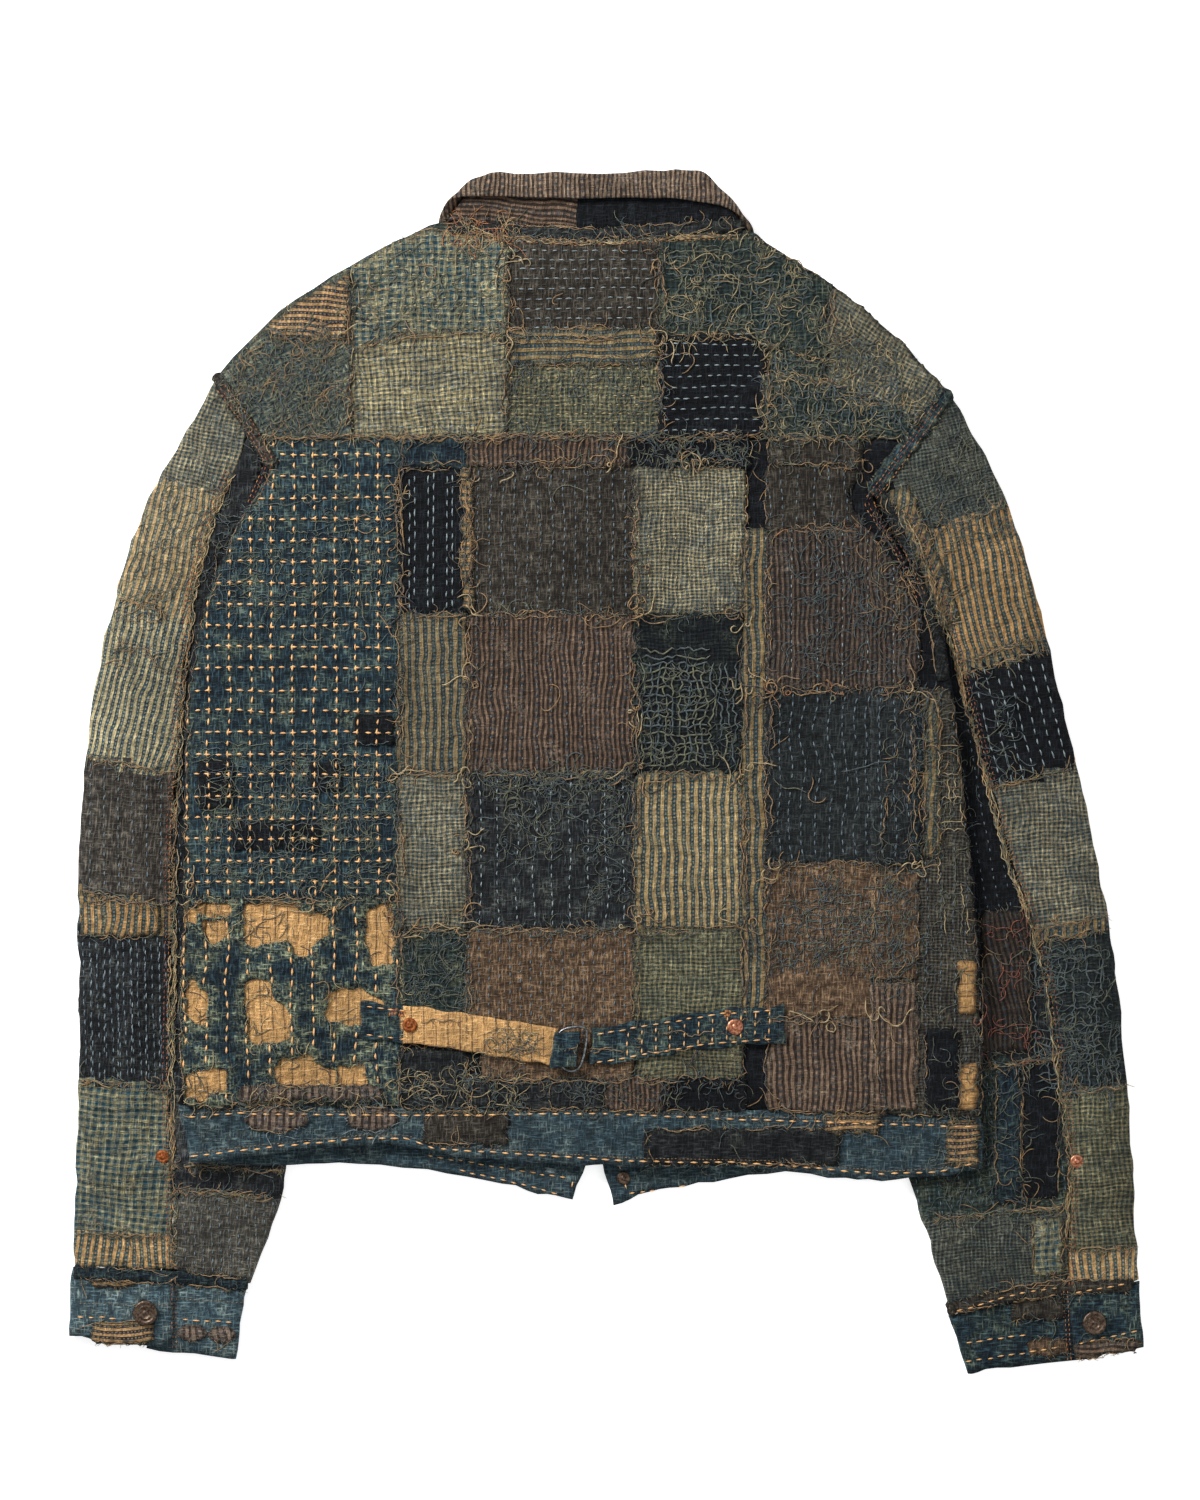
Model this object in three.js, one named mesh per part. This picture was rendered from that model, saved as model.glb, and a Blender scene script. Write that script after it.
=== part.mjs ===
// A patched boro work jacket laid face down, so that its back lies on top. Both sleeves are turned
// down and pass under the body's sides. Every cloth piece is a closed wall that follows the layers
// it lies on. Millimetres, +Z up, the collar towards +Y, the floor at Z = 0.
import * as THREE from "three";

// ---------- Driving dimensions ----------
const CLOTH = 2.2; // the quilted panels
const PATCH = 1.0; // a patch sewn on a panel
const COLLAR_CLOTH = 2.0;
const TAB_CLOTH = 1.8;
const AIR = 0.6; // between layers that lie on each other
const SEAM = 0.5; // between pieces at a seam
const LAYER = CLOTH + AIR; // from one layer's middle to the next one's
const FLOOR_LAYER = CLOTH / 2; // middle of a wall that lies on the floor
const SLEEVE_RISE = 2 * CLOTH + 2 * AIR; // how far a flattened sleeve lifts the body
const BACK_LOFT = 1.6; // the air in the body's middle
const BUTTON_LIFT = 2.6; // the front closure rests on its button heads
const COLLAR_LIFT = COLLAR_CLOTH + 1; // the neck rests on the collar's points
const ROLL_STEPS = 3; // facets round a folded edge
const ROLL_RADIUS = 2;
const ROLL_STEP = (Math.PI * ROLL_RADIUS) / ROLL_STEPS;

const CENTRE_X = -9; // the closure's line
const OVERLAP = 20; // each front's reach past that line
const WAIST_Y = -252; // the fronts' lower end at that line
const PARTING_Y = WAIST_Y + 18; // the fronts overlap above this, and the waistband hangs open
const YOKE_Y = 222.5; // the seam under the yoke
const NECK = new THREE.Vector2(CENTRE_X, 345);

// ---------- Colours ----------
const INDIGO = 0x24424f;
const NAVY = 0x1b222c;
const TEAL = 0x2b3a3f;
const BROWN = 0x54443a;
const TAN = 0x8f7a58;
const CHECK = 0x62695c;
const PEACH = 0xc79b6b;
const COPPER = 0xb8775a;
const STEEL = 0x9aa0a6;
const BRONZE = 0x5a4a3e;

// ---------- Curves and steps ----------
const clamp = (x, low, high) => Math.min(Math.max(x, low), high);
const mix = THREE.MathUtils.lerp;

// 0 at from, 1 at to, level at both ends. The two may come in either order.
function step(x, from, to) {
  const t = clamp((x - from) / (to - from), 0, 1);
  return t * t * (3 - 2 * t);
}

// A smooth curve through [at, value] pairs, read as curve(at).
function through(pairs) {
  const keys = [...pairs].sort((a, b) => a[0] - b[0]);
  const last = keys.length - 1;
  const slopes = keys.map((_, i) => {
    const before = keys[Math.max(i - 1, 0)];
    const after = keys[Math.min(i + 1, last)];
    return (after[1] - before[1]) / (after[0] - before[0]);
  });
  return (at) => {
    const x = clamp(at, keys[0][0], keys[last][0]);
    const i = clamp(
      keys.findIndex((k) => k[0] >= x),
      1,
      last,
    );
    const [x0, y0] = keys[i - 1];
    const [x1, y1] = keys[i];
    const w = x1 - x0;
    const t = (x - x0) / w;
    const ease = t * t * (3 - 2 * t);
    const lean = t * (1 - t) * (1 - t) * slopes[i - 1] - t * t * (1 - t) * slopes[i];
    return mix(y0, y1, ease) + w * lean;
  };
}

// ---------- The body's outline, as X at each Y or Y at each X ----------
const backEdge = {
  left: through([
    [263, -264], [226, -240], [205, -229], [174, -245], [139, -261],
    [92, -278], [38, -283], [-88, -286], [-155, -288], [-280, -288],
  ]),
  right: through([
    [252, 229], [227, 205], [200, 184], [182, 173], [145, 199], [113, 215],
    [86, 225], [46, 232], [-7, 237], [-54, 243], [-121, 248], [-175, 251], [-280, 251],
  ]),
};
const shoulderY = through([
  [-264, 263], [-244, 284], [-220, 311], [-173, 338], [-112, 366.5],
  [94, 363], [108, 351], [131, 338], [172, 311], [201, 284], [229, 252],
]);
const neckY = through([
  [-112, 366.5], [-65, 362], [-22, 358.5], [12, 360], [43, 362], [94, 363],
]);
const waistTopY = through([
  [-288, -226], [-250, -224], [-128, -226], [-6, -224], [80, -228], [144, -230], [251, -233],
]);
const waistLowY = through([
  [-288, -266], [-242, -259], [-163, -252], [-134, -251], [-115, -259],
  [16, -267], [107, -269], [186, -277], [223, -275], [251, -268],
]);
const frontTopY = through([
  [-288, -226.5], [-200, -232], [-100, -243], [CENTRE_X, WAIST_Y], [100, -243], [251, -233.5],
]);
const frontLowY = {
  left: through([[-288, -265], [-213, -267], [-158, -260], [-131, -265], [-75, -279], [-24, -290]]),
  right: through([[4, -294], [20, -284], [69, -279], [104, -271], [148, -269], [251, -266]]),
};

// ---------- The sleeves' outlines: outer fold, seam on top, inner fold, from armhole to cuff ----------
const sleeves = {
  left: {
    side: -1,
    outer: [
      [-264, 263], [-296, 204], [-314, 177], [-332, 117], [-349, 43],
      [-357, -51], [-357, -105], [-356, -155], [-356, -208], [-358, -252], [-359, -295], [-360, -334],
    ],
    seam: [
      [-240, 226], [-252, 197], [-265, 174], [-279, 119], [-287, 46],
      [-293, -54], [-293, -105], [-294, -155], [-295, -212], [-294, -259], [-292, -299], [-292, -336],
    ],
    inner: [
      [-264, 86], [-250, 46], [-239, 16], [-223, -38], [-215, -91],
      [-213, -155], [-214, -188], [-215, -218], [-215, -249], [-217, -275], [-223, -304], [-241, -346],
    ],
    underarm: [[-230, 205], [-238, 172], [-252, 136]], // the armhole's hidden stretch, under the back
    bows: [null, [-290, 105], [-292, 85], [-284, 30]], // the first inner rows bend round the armpit
  },
  right: {
    side: 1,
    outer: [
      [229, 252], [256, 210], [271, 174], [291, 107], [307, 36],
      [328, -51], [335, -98], [343, -138], [350, -228], [353, -269], [355, -309], [357, -344],
    ],
    seam: [
      [185, 201], [199, 177], [210, 153], [229, 96], [246, 31],
      [268, -54], [284, -98], [294, -138], [307, -232], [311, -269], [309, -312], [307, -348],
    ],
    inner: [
      [215, 80], [207, 43], [197, 9], [186, -51], [181, -111],
      [182, -175], [185, -205], [190, -232], [202, -279], [211, -304], [219, -332], [230, -364],
    ],
    underarm: [[174, 182], [190, 143], [206, 111]],
    bows: [null, [232, 95], [243, 70], [240, 10]],
  },
};
const HEM_STATION = 9; // the first station whose inner half lies below the waistband
const armpit = { left: sleeves.left.inner[0], right: sleeves.right.inner[0] };
const innerFold = {
  left: through(sleeves.left.inner.map(([x, y]) => [y, x])),
  right: through(sleeves.right.inner.map(([x, y]) => [y, x])),
};
const LIFT_START = 26; // how far inside the sleeve's fold the front starts to rise
const LIFT_END = 3;
const ROLL_GAP = 1.6; // a front's side stops this far from the back's rolled edge
const ARMHOLE_INSET = 3; // and this far from the armhole, where the sleeve's fold turns in
const ARMPIT_INSET = 5.5;

// A front's side: it meets the back's rolled edge below the armpit, and the sleeve's lower wall above it.
function frontEdge(name, y) {
  const side = sleeves[name].side;
  const [x0, y0] = armpit[name];
  const [x1, y1] = sleeves[name].outer[0];
  if (y > y0 + 20) return mix(x0, x1, (y - y0) / (y1 - y0)) - side * ARMHOLE_INSET;
  if (y > y0) return x0 - side * ARMPIT_INSET;
  if (y > y0 - 16) return innerFold[name](y) - side * (LIFT_END + 0.5);
  return backEdge[name](y) - side * (rollReach(1) + ROLL_GAP);
}

// ---------- The heights of the layers' middles ----------
// 1 where the body lies over a sleeve, down from the armpit.
function overSleeve(x, y) {
  let share = 0;
  for (const [name, { side }] of Object.entries(sleeves)) {
    const inside = side * (innerFold[name](y) - x);
    const below = 1 - step(y, armpit[name][1] - 8, armpit[name][1] + 12);
    share += below * (1 - step(inside, LIFT_END, LIFT_START));
  }
  return share;
}

function restingOn(x, y) {
  const neck = Math.hypot(x - NECK.x, y - NECK.y);
  const closure = Math.abs(x - CENTRE_X);
  const collar = COLLAR_LIFT * (1 - step(neck, 130, 185));
  const buttons = BUTTON_LIFT * (1 - step(closure, 26, 56));
  return Math.max(collar, buttons);
}

const frontHeight = (x, y) => FLOOR_LAYER + SLEEVE_RISE * overSleeve(x, y) + restingOn(x, y);

// The right front lies on the left one at the closure.
function rightFrontHeight(x, y) {
  const past = x - (CENTRE_X + OVERLAP);
  const lapped = step(y, WAIST_Y + 8, PARTING_Y) * (1 - step(past, 2, 30));
  return frontHeight(x, y) + LAYER * lapped;
}

// The back's folded sides lie over the sleeves from the armholes down.
function backHeight(x, y) {
  const fromLeft = x - backEdge.left(y);
  const fromRight = backEdge.right(y) - x;
  const leftFold = step(y, 218, 186) * (1 - step(fromLeft, 8, 60));
  const rightFold = step(y, 194, 164) * (1 - step(fromRight, 8, 60));
  const lifted = 1 - (1 - overSleeve(x, y)) * (1 - leftFold) * (1 - rightFold);
  const middle = step(Math.min(fromLeft, fromRight), 0, 110);
  const closure = LAYER * (1 - step(Math.abs(x - CENTRE_X), 24, 70)) * step(y, WAIST_Y - 20, PARTING_Y);
  return FLOOR_LAYER + SLEEVE_RISE * lifted + restingOn(x, y) + rollDrop(1) + BACK_LOFT * middle + closure;
}

// ---------- Folded edges ----------
// A roll turns a sheet's edge over by turn half-circles, in ROLL_STEPS facets.
function rollSteps(turn) {
  const steps = [];
  for (let k = 0; k < ROLL_STEPS; k++) {
    const angle = (Math.PI * turn * (k + 0.5)) / ROLL_STEPS;
    steps.push([ROLL_STEP * Math.cos(angle), ROLL_STEP * Math.sin(angle)]);
  }
  return steps;
}

const rollDrop = (turn) => rollSteps(turn).reduce((sum, [, down]) => sum + down, 0);

function rollReach(turn) {
  let out = 0;
  let furthest = 0;
  for (const [along] of rollSteps(turn)) {
    out += along;
    furthest = Math.max(furthest, out);
  }
  return furthest + (CLOTH / 2) * Math.min(1, 2 * turn);
}

// Points from the start of the roll to its end. edge is the silhouette, outward points out of the sheet.
function roll(edge, outward, height, turn) {
  const start = edge.clone().addScaledVector(outward, -rollReach(turn));
  const points = [new THREE.Vector3(start.x, start.y, height)];
  for (const [along, down] of rollSteps(turn)) {
    const p = points[points.length - 1].clone();
    p.x += outward.x * along;
    p.y += outward.y * along;
    p.z -= down;
    points.push(p);
  }
  return points;
}

// ---------- Sheets ----------
function gridNormals(rows) {
  const m = rows.length - 1;
  const n = rows[0].length - 1;
  return rows.map((row, i) =>
    row.map((_, j) => {
      const across = rows[i][Math.min(j + 1, n)].clone().sub(rows[i][Math.max(j - 1, 0)]);
      const along = rows[Math.min(i + 1, m)][j].clone().sub(rows[Math.max(i - 1, 0)][j]);
      return across.cross(along).normalize();
    }),
  );
}

// A closed wall of this thickness whose middle surface has these rows of points.
function sheet(rows, thickness, normals = gridNormals(rows)) {
  const m = rows.length;
  const n = rows[0].length;
  const positions = [];
  for (const half of [thickness / 2, -thickness / 2]) {
    rows.forEach((row, i) =>
      row.forEach((p, j) => positions.push(...p.clone().addScaledVector(normals[i][j], half).toArray())),
    );
  }
  const top = (i, j) => i * n + j;
  const low = (i, j) => m * n + i * n + j;
  const index = [];
  const corner = (k) => new THREE.Vector3().fromArray(positions, 3 * k);
  const quad = (a, b, c, d) => {
    const even = corner(a).distanceTo(corner(c)) <= corner(b).distanceTo(corner(d));
    index.push(...(even ? [a, b, c, a, c, d] : [a, b, d, b, c, d]));
  };
  for (let i = 0; i + 1 < m; i++) {
    for (let j = 0; j + 1 < n; j++) {
      quad(top(i, j), top(i, j + 1), top(i + 1, j + 1), top(i + 1, j));
      quad(low(i, j), low(i + 1, j), low(i + 1, j + 1), low(i, j + 1));
    }
  }
  for (let j = 0; j + 1 < n; j++) {
    quad(top(0, j), low(0, j), low(0, j + 1), top(0, j + 1));
    quad(top(m - 1, j), top(m - 1, j + 1), low(m - 1, j + 1), low(m - 1, j));
  }
  for (let i = 0; i + 1 < m; i++) {
    quad(top(i, 0), top(i + 1, 0), low(i + 1, 0), low(i, 0));
    quad(top(i, n - 1), low(i, n - 1), low(i + 1, n - 1), top(i + 1, n - 1));
  }
  const geometry = new THREE.BufferGeometry();
  geometry.setAttribute("position", new THREE.Float32BufferAttribute(positions, 3));
  geometry.setIndex(index);
  return facingOut(geometry);
}

function volume(geometry) {
  const p = geometry.attributes.position;
  const corner = [new THREE.Vector3(), new THREE.Vector3(), new THREE.Vector3()];
  let sum = 0;
  for (let k = 0; k < geometry.index.count; k += 3) {
    corner.forEach((c, i) => c.fromBufferAttribute(p, geometry.index.getX(k + i)));
    sum += corner[0].dot(corner[1].clone().cross(corner[2])) / 6;
  }
  return sum;
}

function facingOut(geometry) {
  if (volume(geometry) < 0) {
    const index = geometry.index;
    for (let k = 0; k < index.count; k += 3) {
      const held = index.getX(k + 1);
      index.setX(k + 1, index.getX(k + 2));
      index.setX(k + 2, held);
    }
  }
  return geometry;
}

const jacket = new THREE.Group();

function add(name, geometry, colour, roughness = 0.95, metalness = 0) {
  const material = new THREE.MeshStandardMaterial({ color: colour, roughness, metalness });
  const mesh = new THREE.Mesh(geometry, material);
  mesh.name = name;
  jacket.add(mesh);
  return mesh;
}

// Some rows and columns of a panel, moved out of it by height, and drawn in at its border so that
// patches stay apart.
function patchRows(panel, [i0, i1], [j0, j1], height, border = 0.7) {
  const normals = gridNormals(panel);
  const up = Math.sign(normals[i0][j0].z);
  const rows = [];
  for (let i = i0; i <= i1; i++) {
    const row = [];
    for (let j = j0; j <= j1; j++) {
      row.push(panel[i][j].clone().addScaledVector(normals[i][j], up * height));
    }
    rows.push(row);
  }
  const inward = (p, q) => p.addScaledVector(q.clone().sub(p).normalize(), border);
  for (const row of rows) {
    inward(row[0], row[1]);
    inward(row[row.length - 1], row[row.length - 2]);
  }
  const last = rows.length - 1;
  rows[0].forEach((p, j) => inward(p, rows[1][j]));
  rows[last].forEach((p, j) => inward(p, rows[last - 1][j]));
  return rows;
}

// ---------- Back panel ----------
const BACK_YS = [YOKE_Y - SEAM, 204, 182, 160, 132, 103, 53, 25, -4, -64, -88, -108, -168, -188, WAIST_Y];
const backTurn = (name, y) => (name === "left" ? step(y, 192, 150) : step(y, 172, 130));

// The columns between the two rolls, from left to right. The outer ones follow the sleeves' folds underneath.
function backColumns(y) {
  const left = backEdge.left(y) + rollReach(backTurn("left", y));
  const right = backEdge.right(y) - rollReach(backTurn("right", y));
  const leftHigh = Math.max(left + 10, Math.min(innerFold.left(y) + LIFT_END, -182));
  const leftLow = Math.max(left + 22, Math.min(innerFold.left(y) + LIFT_START, -165));
  const rightHigh = Math.min(right - 9, Math.max(innerFold.right(y) - LIFT_END, 165));
  const rightLow = Math.min(right - 20, Math.max(innerFold.right(y) - LIFT_START, 142));
  return [leftHigh, leftLow, -140, -117, -94, -57, -19, 18, 55, 91, 107, rightLow, rightHigh];
}

function backRows() {
  return BACK_YS.map((level, i) => {
    const last = i === BACK_YS.length - 1;
    const y = (x) => (last ? waistTopY(x) + SEAM : level);
    const rolled = (name, side) => {
      const at = y(backEdge[name](Math.max(level, -230)));
      const edge = new THREE.Vector2(backEdge[name](at), at);
      const turn = backTurn(name, at);
      const start = edge.x - side * rollReach(turn);
      return roll(edge, new THREE.Vector2(side, 0), backHeight(start, at), turn);
    };
    const left = rolled("left", -1).reverse();
    const right = rolled("right", 1);
    const between = backColumns(Math.max(level, -230)).map(
      (x) => new THREE.Vector3(x, y(x), backHeight(x, y(x))),
    );
    return [...left, ...between, ...right];
  });
}

const back = backRows();
const END = BACK_YS.length - 1;
const FIRST = ROLL_STEPS; // the column where the left roll starts
const LAST = back[0].length - 1 - ROLL_STEPS;
add("back_panel", sheet(back, CLOTH), INDIGO);

// ---------- Yoke ----------
// Each column runs from the yoke seam to the shoulder or the neck: its X below, its X above, and
// how far it rolls over.
const YOKE_COLUMNS = [
  [-235.5, -262, 1], [-205, -222, 1], [-173, -173, 1], [-134, -127, 1], [-121, -111, 0], [-94, -90, 0],
  [-68, -68, 0], [-16, -16, 0], [35, 35, 0], [64, 64, 0], [88, 93, 0], [104, 108, 1], [148, 150, 1],
  [176, 192, 1], [199, 227, 1],
];
const YOKE_SHARES = [0, 0.17, 0.34, 0.5, 0.67, 0.84];

function yokeRows() {
  const columns = YOKE_COLUMNS.map(([below, above, turn]) => {
    const foot = new THREE.Vector2(below, YOKE_Y);
    const edge = new THREE.Vector2(above, turn ? shoulderY(above) : neckY(above) - SEAM);
    const outward = edge.clone().sub(foot).normalize();
    const start = edge.clone().addScaledVector(outward, -rollReach(turn));
    const points = YOKE_SHARES.map((v) => {
      const p = foot.clone().lerp(start, v);
      return new THREE.Vector3(p.x, p.y, backHeight(p.x, p.y));
    });
    return [...points, ...roll(edge, outward, backHeight(start.x, start.y), turn)];
  });
  return columns[0].map((_, i) => columns.map((column) => column[i]));
}

const yoke = yokeRows();
const YOKE_TOP = YOKE_SHARES.length; // the row where the shoulder's roll starts
const YOKE_SPLIT = 3; // the row between the yoke's two courses of patches
const SHOULDER_SPLIT = 2;
add("yoke", sheet(yoke, CLOTH), INDIGO);

// ---------- Fronts ----------
const FRONT_TOP_Y = 200; // above this the rows fan out to the neckline and shoulder
const FRONT_YS = {
  left: [-190, -150, -100, -50, 0, 40, 64, 78, 100, 152],
  right: [-190, -150, -100, -50, 0, 34, 58, 72, 94, 152],
};
// Where each column meets the neckline or shoulder, from the closure outwards.
const FRONT_TOPS = {
  left: [
    [CENTRE_X + OVERLAP, 293], [-34, 299], [-60, 313], [-99, 348], [-150, 343], [-205, 315], [-260, 259],
  ],
  right: [
    [CENTRE_X - OVERLAP, 293], [14, 299], [44, 313], [82, 346], [128, 334], [172, 304], [224.5, 248],
  ],
};

function frontColumns(name, y) {
  const side = sleeves[name].side;
  const edge = frontEdge(name, y);
  const reach = OVERLAP * step(y, PARTING_Y, PARTING_Y + 44);
  const closure = CENTRE_X + side * (1.2 - reach);
  const high = side * Math.min(side * edge - 6, side * innerFold[name](y) - LIFT_END);
  const low = side * Math.min(side * edge - 16, side * innerFold[name](y) - LIFT_START);
  const middle = mix(CENTRE_X, low, 0.6);
  return [closure, CENTRE_X + side * (OVERLAP + 4), CENTRE_X + side * 58, middle, low, high, edge];
}
const waistColumns = (name) => frontColumns(name, WAIST_Y + 16);

function frontRows(name, height) {
  const at = (x, y) => new THREE.Vector3(x, y, height(x, y));
  const rows = [0, PARTING_Y - WAIST_Y].map((above) =>
    waistColumns(name).map((x) => at(x, frontTopY(x) + 2 * SEAM + above)),
  );
  for (const y of FRONT_YS[name]) rows.push(frontColumns(name, y).map((x) => at(x, y)));
  const fan = frontColumns(name, FRONT_TOP_Y);
  for (const v of [0, 0.35, 0.7, 1]) {
    rows.push(FRONT_TOPS[name].map(([x, y], j) => at(mix(fan[j], x, v), mix(FRONT_TOP_Y, y, v))));
  }
  return rows;
}

add("front_left", sheet(frontRows("left", frontHeight), CLOTH), INDIGO);
add("front_right", sheet(frontRows("right", rightFrontHeight), CLOTH), INDIGO);

// ---------- Waistband: one strip from the left front's end round to the right front's ----------
const BAND_SHARES = [0, 0.5, 1];
const CORNER = { left: [-24, -290], right: [4, -294] }; // the strip's ends sag at the open closure

function waistbandRows() {
  const stations = [];
  const flat = (top, low, height) =>
    stations.push(
      BAND_SHARES.map((v) => {
        const x = mix(top[0], low[0], v);
        const y = mix(top[1], low[1], v);
        return new THREE.Vector3(x, y, height(x, y));
      }),
    );
  const fold = (side, topX, lowX, downwards) => {
    const rolls = BAND_SHARES.map((v) => {
      const edge = new THREE.Vector2(mix(topX, lowX, v), mix(waistTopY(topX), waistLowY(lowX), v));
      return roll(edge, new THREE.Vector2(side, 0), backHeight(edge.x - side * rollReach(1), edge.y), 1);
    });
    const turned = rolls[0].map((_, k) => rolls.map((points) => points[k]));
    stations.push(...(downwards ? turned : turned.reverse()));
  };
  const front = (name, columns) =>
    columns.forEach((x) => {
      const lean = innerFold[name](frontLowY[name](x)) - innerFold[name](frontTopY(x));
      flat([x, frontTopY(x)], [x + lean, frontLowY[name](x + lean)], frontHeight);
    });
  const columns = { left: waistColumns("left").slice(1, -1), right: waistColumns("right").slice(1, -1) };
  flat([CENTRE_X - 1.2, WAIST_Y], CORNER.left, frontHeight);
  front("left", columns.left);
  fold(-1, -288, -281, false);
  for (const p of back[END].slice(FIRST + 1, LAST)) {
    flat([p.x, waistTopY(p.x)], [p.x, waistLowY(p.x)], backHeight);
  }
  fold(1, 251, 251, true);
  front("right", columns.right.reverse());
  flat([CENTRE_X + 1.2, WAIST_Y], CORNER.right, frontHeight);
  return stations;
}

add("waistband", sheet(waistbandRows(), CLOTH), INDIGO);

// ---------- Sleeves ----------
const UPPER = CLOTH / 2 + LAYER; // middle of the sleeve's upper wall where the body presses it flat
const UPPER_EDGE = FLOOR_LAYER + rollDrop(1); // and at a free folded edge
const OUTER_PUFF = 3.2; // the air in the sleeve where nothing lies on it
const INNER_PUFF = 1.6;
const vector = ([x, y]) => new THREE.Vector2(x, y);

// Points of a half-circle round a fold, from the upper wall to the lower one.
function foldPoints(edge, outward, height) {
  const radius = (height - FLOOR_LAYER) / 2;
  const centre = edge.clone().addScaledVector(outward, -(radius + CLOTH / 2));
  const points = [];
  for (let k = 0; k <= ROLL_STEPS; k++) {
    const angle = Math.PI * (0.5 - k / ROLL_STEPS);
    const p = centre.clone().addScaledVector(outward, radius * Math.cos(angle));
    points.push(new THREE.Vector3(p.x, p.y, FLOOR_LAYER + radius + radius * Math.sin(angle)));
  }
  return points;
}

// One row of a sleeve panel: from the seam on top, round the fold, to the seam underneath. A bow
// bends it sideways.
function sleeveRow({ seam, bow, edge, under, seamHeight, edgeHeight, puff, shares }) {
  const outward = edge.clone().sub(bow ?? seam).normalize();
  const fold = foldPoints(edge, outward, edgeHeight);
  const foldStart = new THREE.Vector2(fold[0].x, fold[0].y);
  const foldEnd = new THREE.Vector2(fold[ROLL_STEPS].x, fold[ROLL_STEPS].y);
  const start = seam.clone().lerp(foldStart, SEAM / 2 / seam.distanceTo(foldStart));
  const straight = start.clone().lerp(foldStart, 0.5);
  const path = new THREE.QuadraticBezierCurve(start, bow ?? straight, foldStart);
  const upper = shares.map((u) => {
    const p = path.getPoint(u);
    return new THREE.Vector3(p.x, p.y, mix(seamHeight, edgeHeight, u) + puff * Math.sin(Math.PI * u));
  });
  const bend = bow ? bow.clone().sub(straight).multiplyScalar(0.17) : new THREE.Vector2();
  const p = foldEnd.clone().lerp(under, 0.5).add(bend);
  const lower = [new THREE.Vector3(p.x, p.y, FLOOR_LAYER), new THREE.Vector3(under.x, under.y, FLOOR_LAYER)];
  return [...upper, ...fold, ...lower];
}

function sleevePanels(name) {
  const { outer, seam, inner, underarm, bows } = sleeves[name];
  const outerRows = [];
  const innerRows = [];
  outer.forEach((_, k) => {
    const [outerEdge, seamPoint, innerEdge] = [outer[k], seam[k], inner[k]].map(vector);
    const middle = outerEdge.clone().lerp(innerEdge, 0.5);
    const apart = outerEdge.clone().sub(innerEdge).setLength(SEAM / 2);
    const seamHeight = mix(UPPER_EDGE, UPPER, step(k, 0, 2));
    outerRows.push(
      sleeveRow({
        seam: seamPoint, edge: outerEdge, under: middle.clone().add(apart),
        seamHeight, edgeHeight: UPPER_EDGE, puff: OUTER_PUFF * step(k, 0, 3), shares: [0, 0.2, 0.4, 0.6, 0.8],
      }),
    );
    innerRows.push(
      sleeveRow({
        seam: seamPoint, bow: bows[k] && vector(bows[k]), edge: innerEdge, under: middle.clone().sub(apart),
        seamHeight, edgeHeight: UPPER, puff: INNER_PUFF * step(k, HEM_STATION, HEM_STATION + 2),
        shares: [0, 0.25, 0.5, 0.75],
      }),
    );
  });
  // The inner panel starts at the armhole's hidden stretch, under the back.
  underarm.forEach(([x, y], j) => innerRows[0][j + 1].set(x, y, UPPER));
  return { outerRows, innerRows };
}

const panels = { left: sleevePanels("left"), right: sleevePanels("right") };
for (const [name, { outerRows, innerRows }] of Object.entries(panels)) {
  add(`sleeve_${name}_outer`, sheet(outerRows, CLOTH), CHECK);
  add(`sleeve_${name}_inner`, sheet(innerRows, CLOTH), NAVY);
}

// ---------- Cuffs: a strip round the wrist, whose buttoned end lies on its other end ----------
const cuffs = {
  left: {
    side: -1,
    lap: [[-291.5, -337], [-293.5, -387]],
    lapMiddle: [[-318, -336], [-322, -387]],
    outer: [[-361, -335], [-363, -380]],
    inner: [[-243, -349], [-250, -396]],
    under: [[-272, -343], [-274, -394]],
    underEnd: [[-308, -338.5], [-310, -389]],
  },
  right: {
    side: 1,
    lap: [[306.5, -348.5], [313, -396]],
    lapMiddle: [[328, -347], [334, -393]],
    outer: [[357.5, -345], [360, -388]],
    inner: [[229, -366], [240, -405]],
    under: [[272, -355], [278, -400]],
    underEnd: [[322, -350], [327, -395]],
  },
};

function cuffRows({ side, lap, lapMiddle, outer, inner, under, underEnd }) {
  const stations = [];
  const across = ([top, low], v) => new THREE.Vector2(mix(top[0], low[0], v), mix(top[1], low[1], v) - SEAM);
  const flat = (line, height) =>
    stations.push(BAND_SHARES.map((v) => new THREE.Vector3(...across(line, v).toArray(), height)));
  const fold = (line, direction, height, upwards) => {
    const rows = BAND_SHARES.map((v) => foldPoints(across(line, v), new THREE.Vector2(direction, 0), height));
    const turned = rows[0].map((_, k) => rows.map((points) => points[k]));
    stations.push(...(upwards ? turned.reverse() : turned));
  };
  flat(lap, UPPER + LAYER);
  flat(lapMiddle, UPPER + LAYER);
  fold(outer, side, UPPER_EDGE, false);
  fold(inner, -side, UPPER, true);
  flat(under, UPPER);
  flat(underEnd, UPPER);
  return stations;
}

const cuff = { left: cuffRows(cuffs.left), right: cuffRows(cuffs.right) };
add("cuff_left", sheet(cuff.left, CLOTH), INDIGO);
add("cuff_right", sheet(cuff.right, CLOTH), INDIGO);

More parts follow.
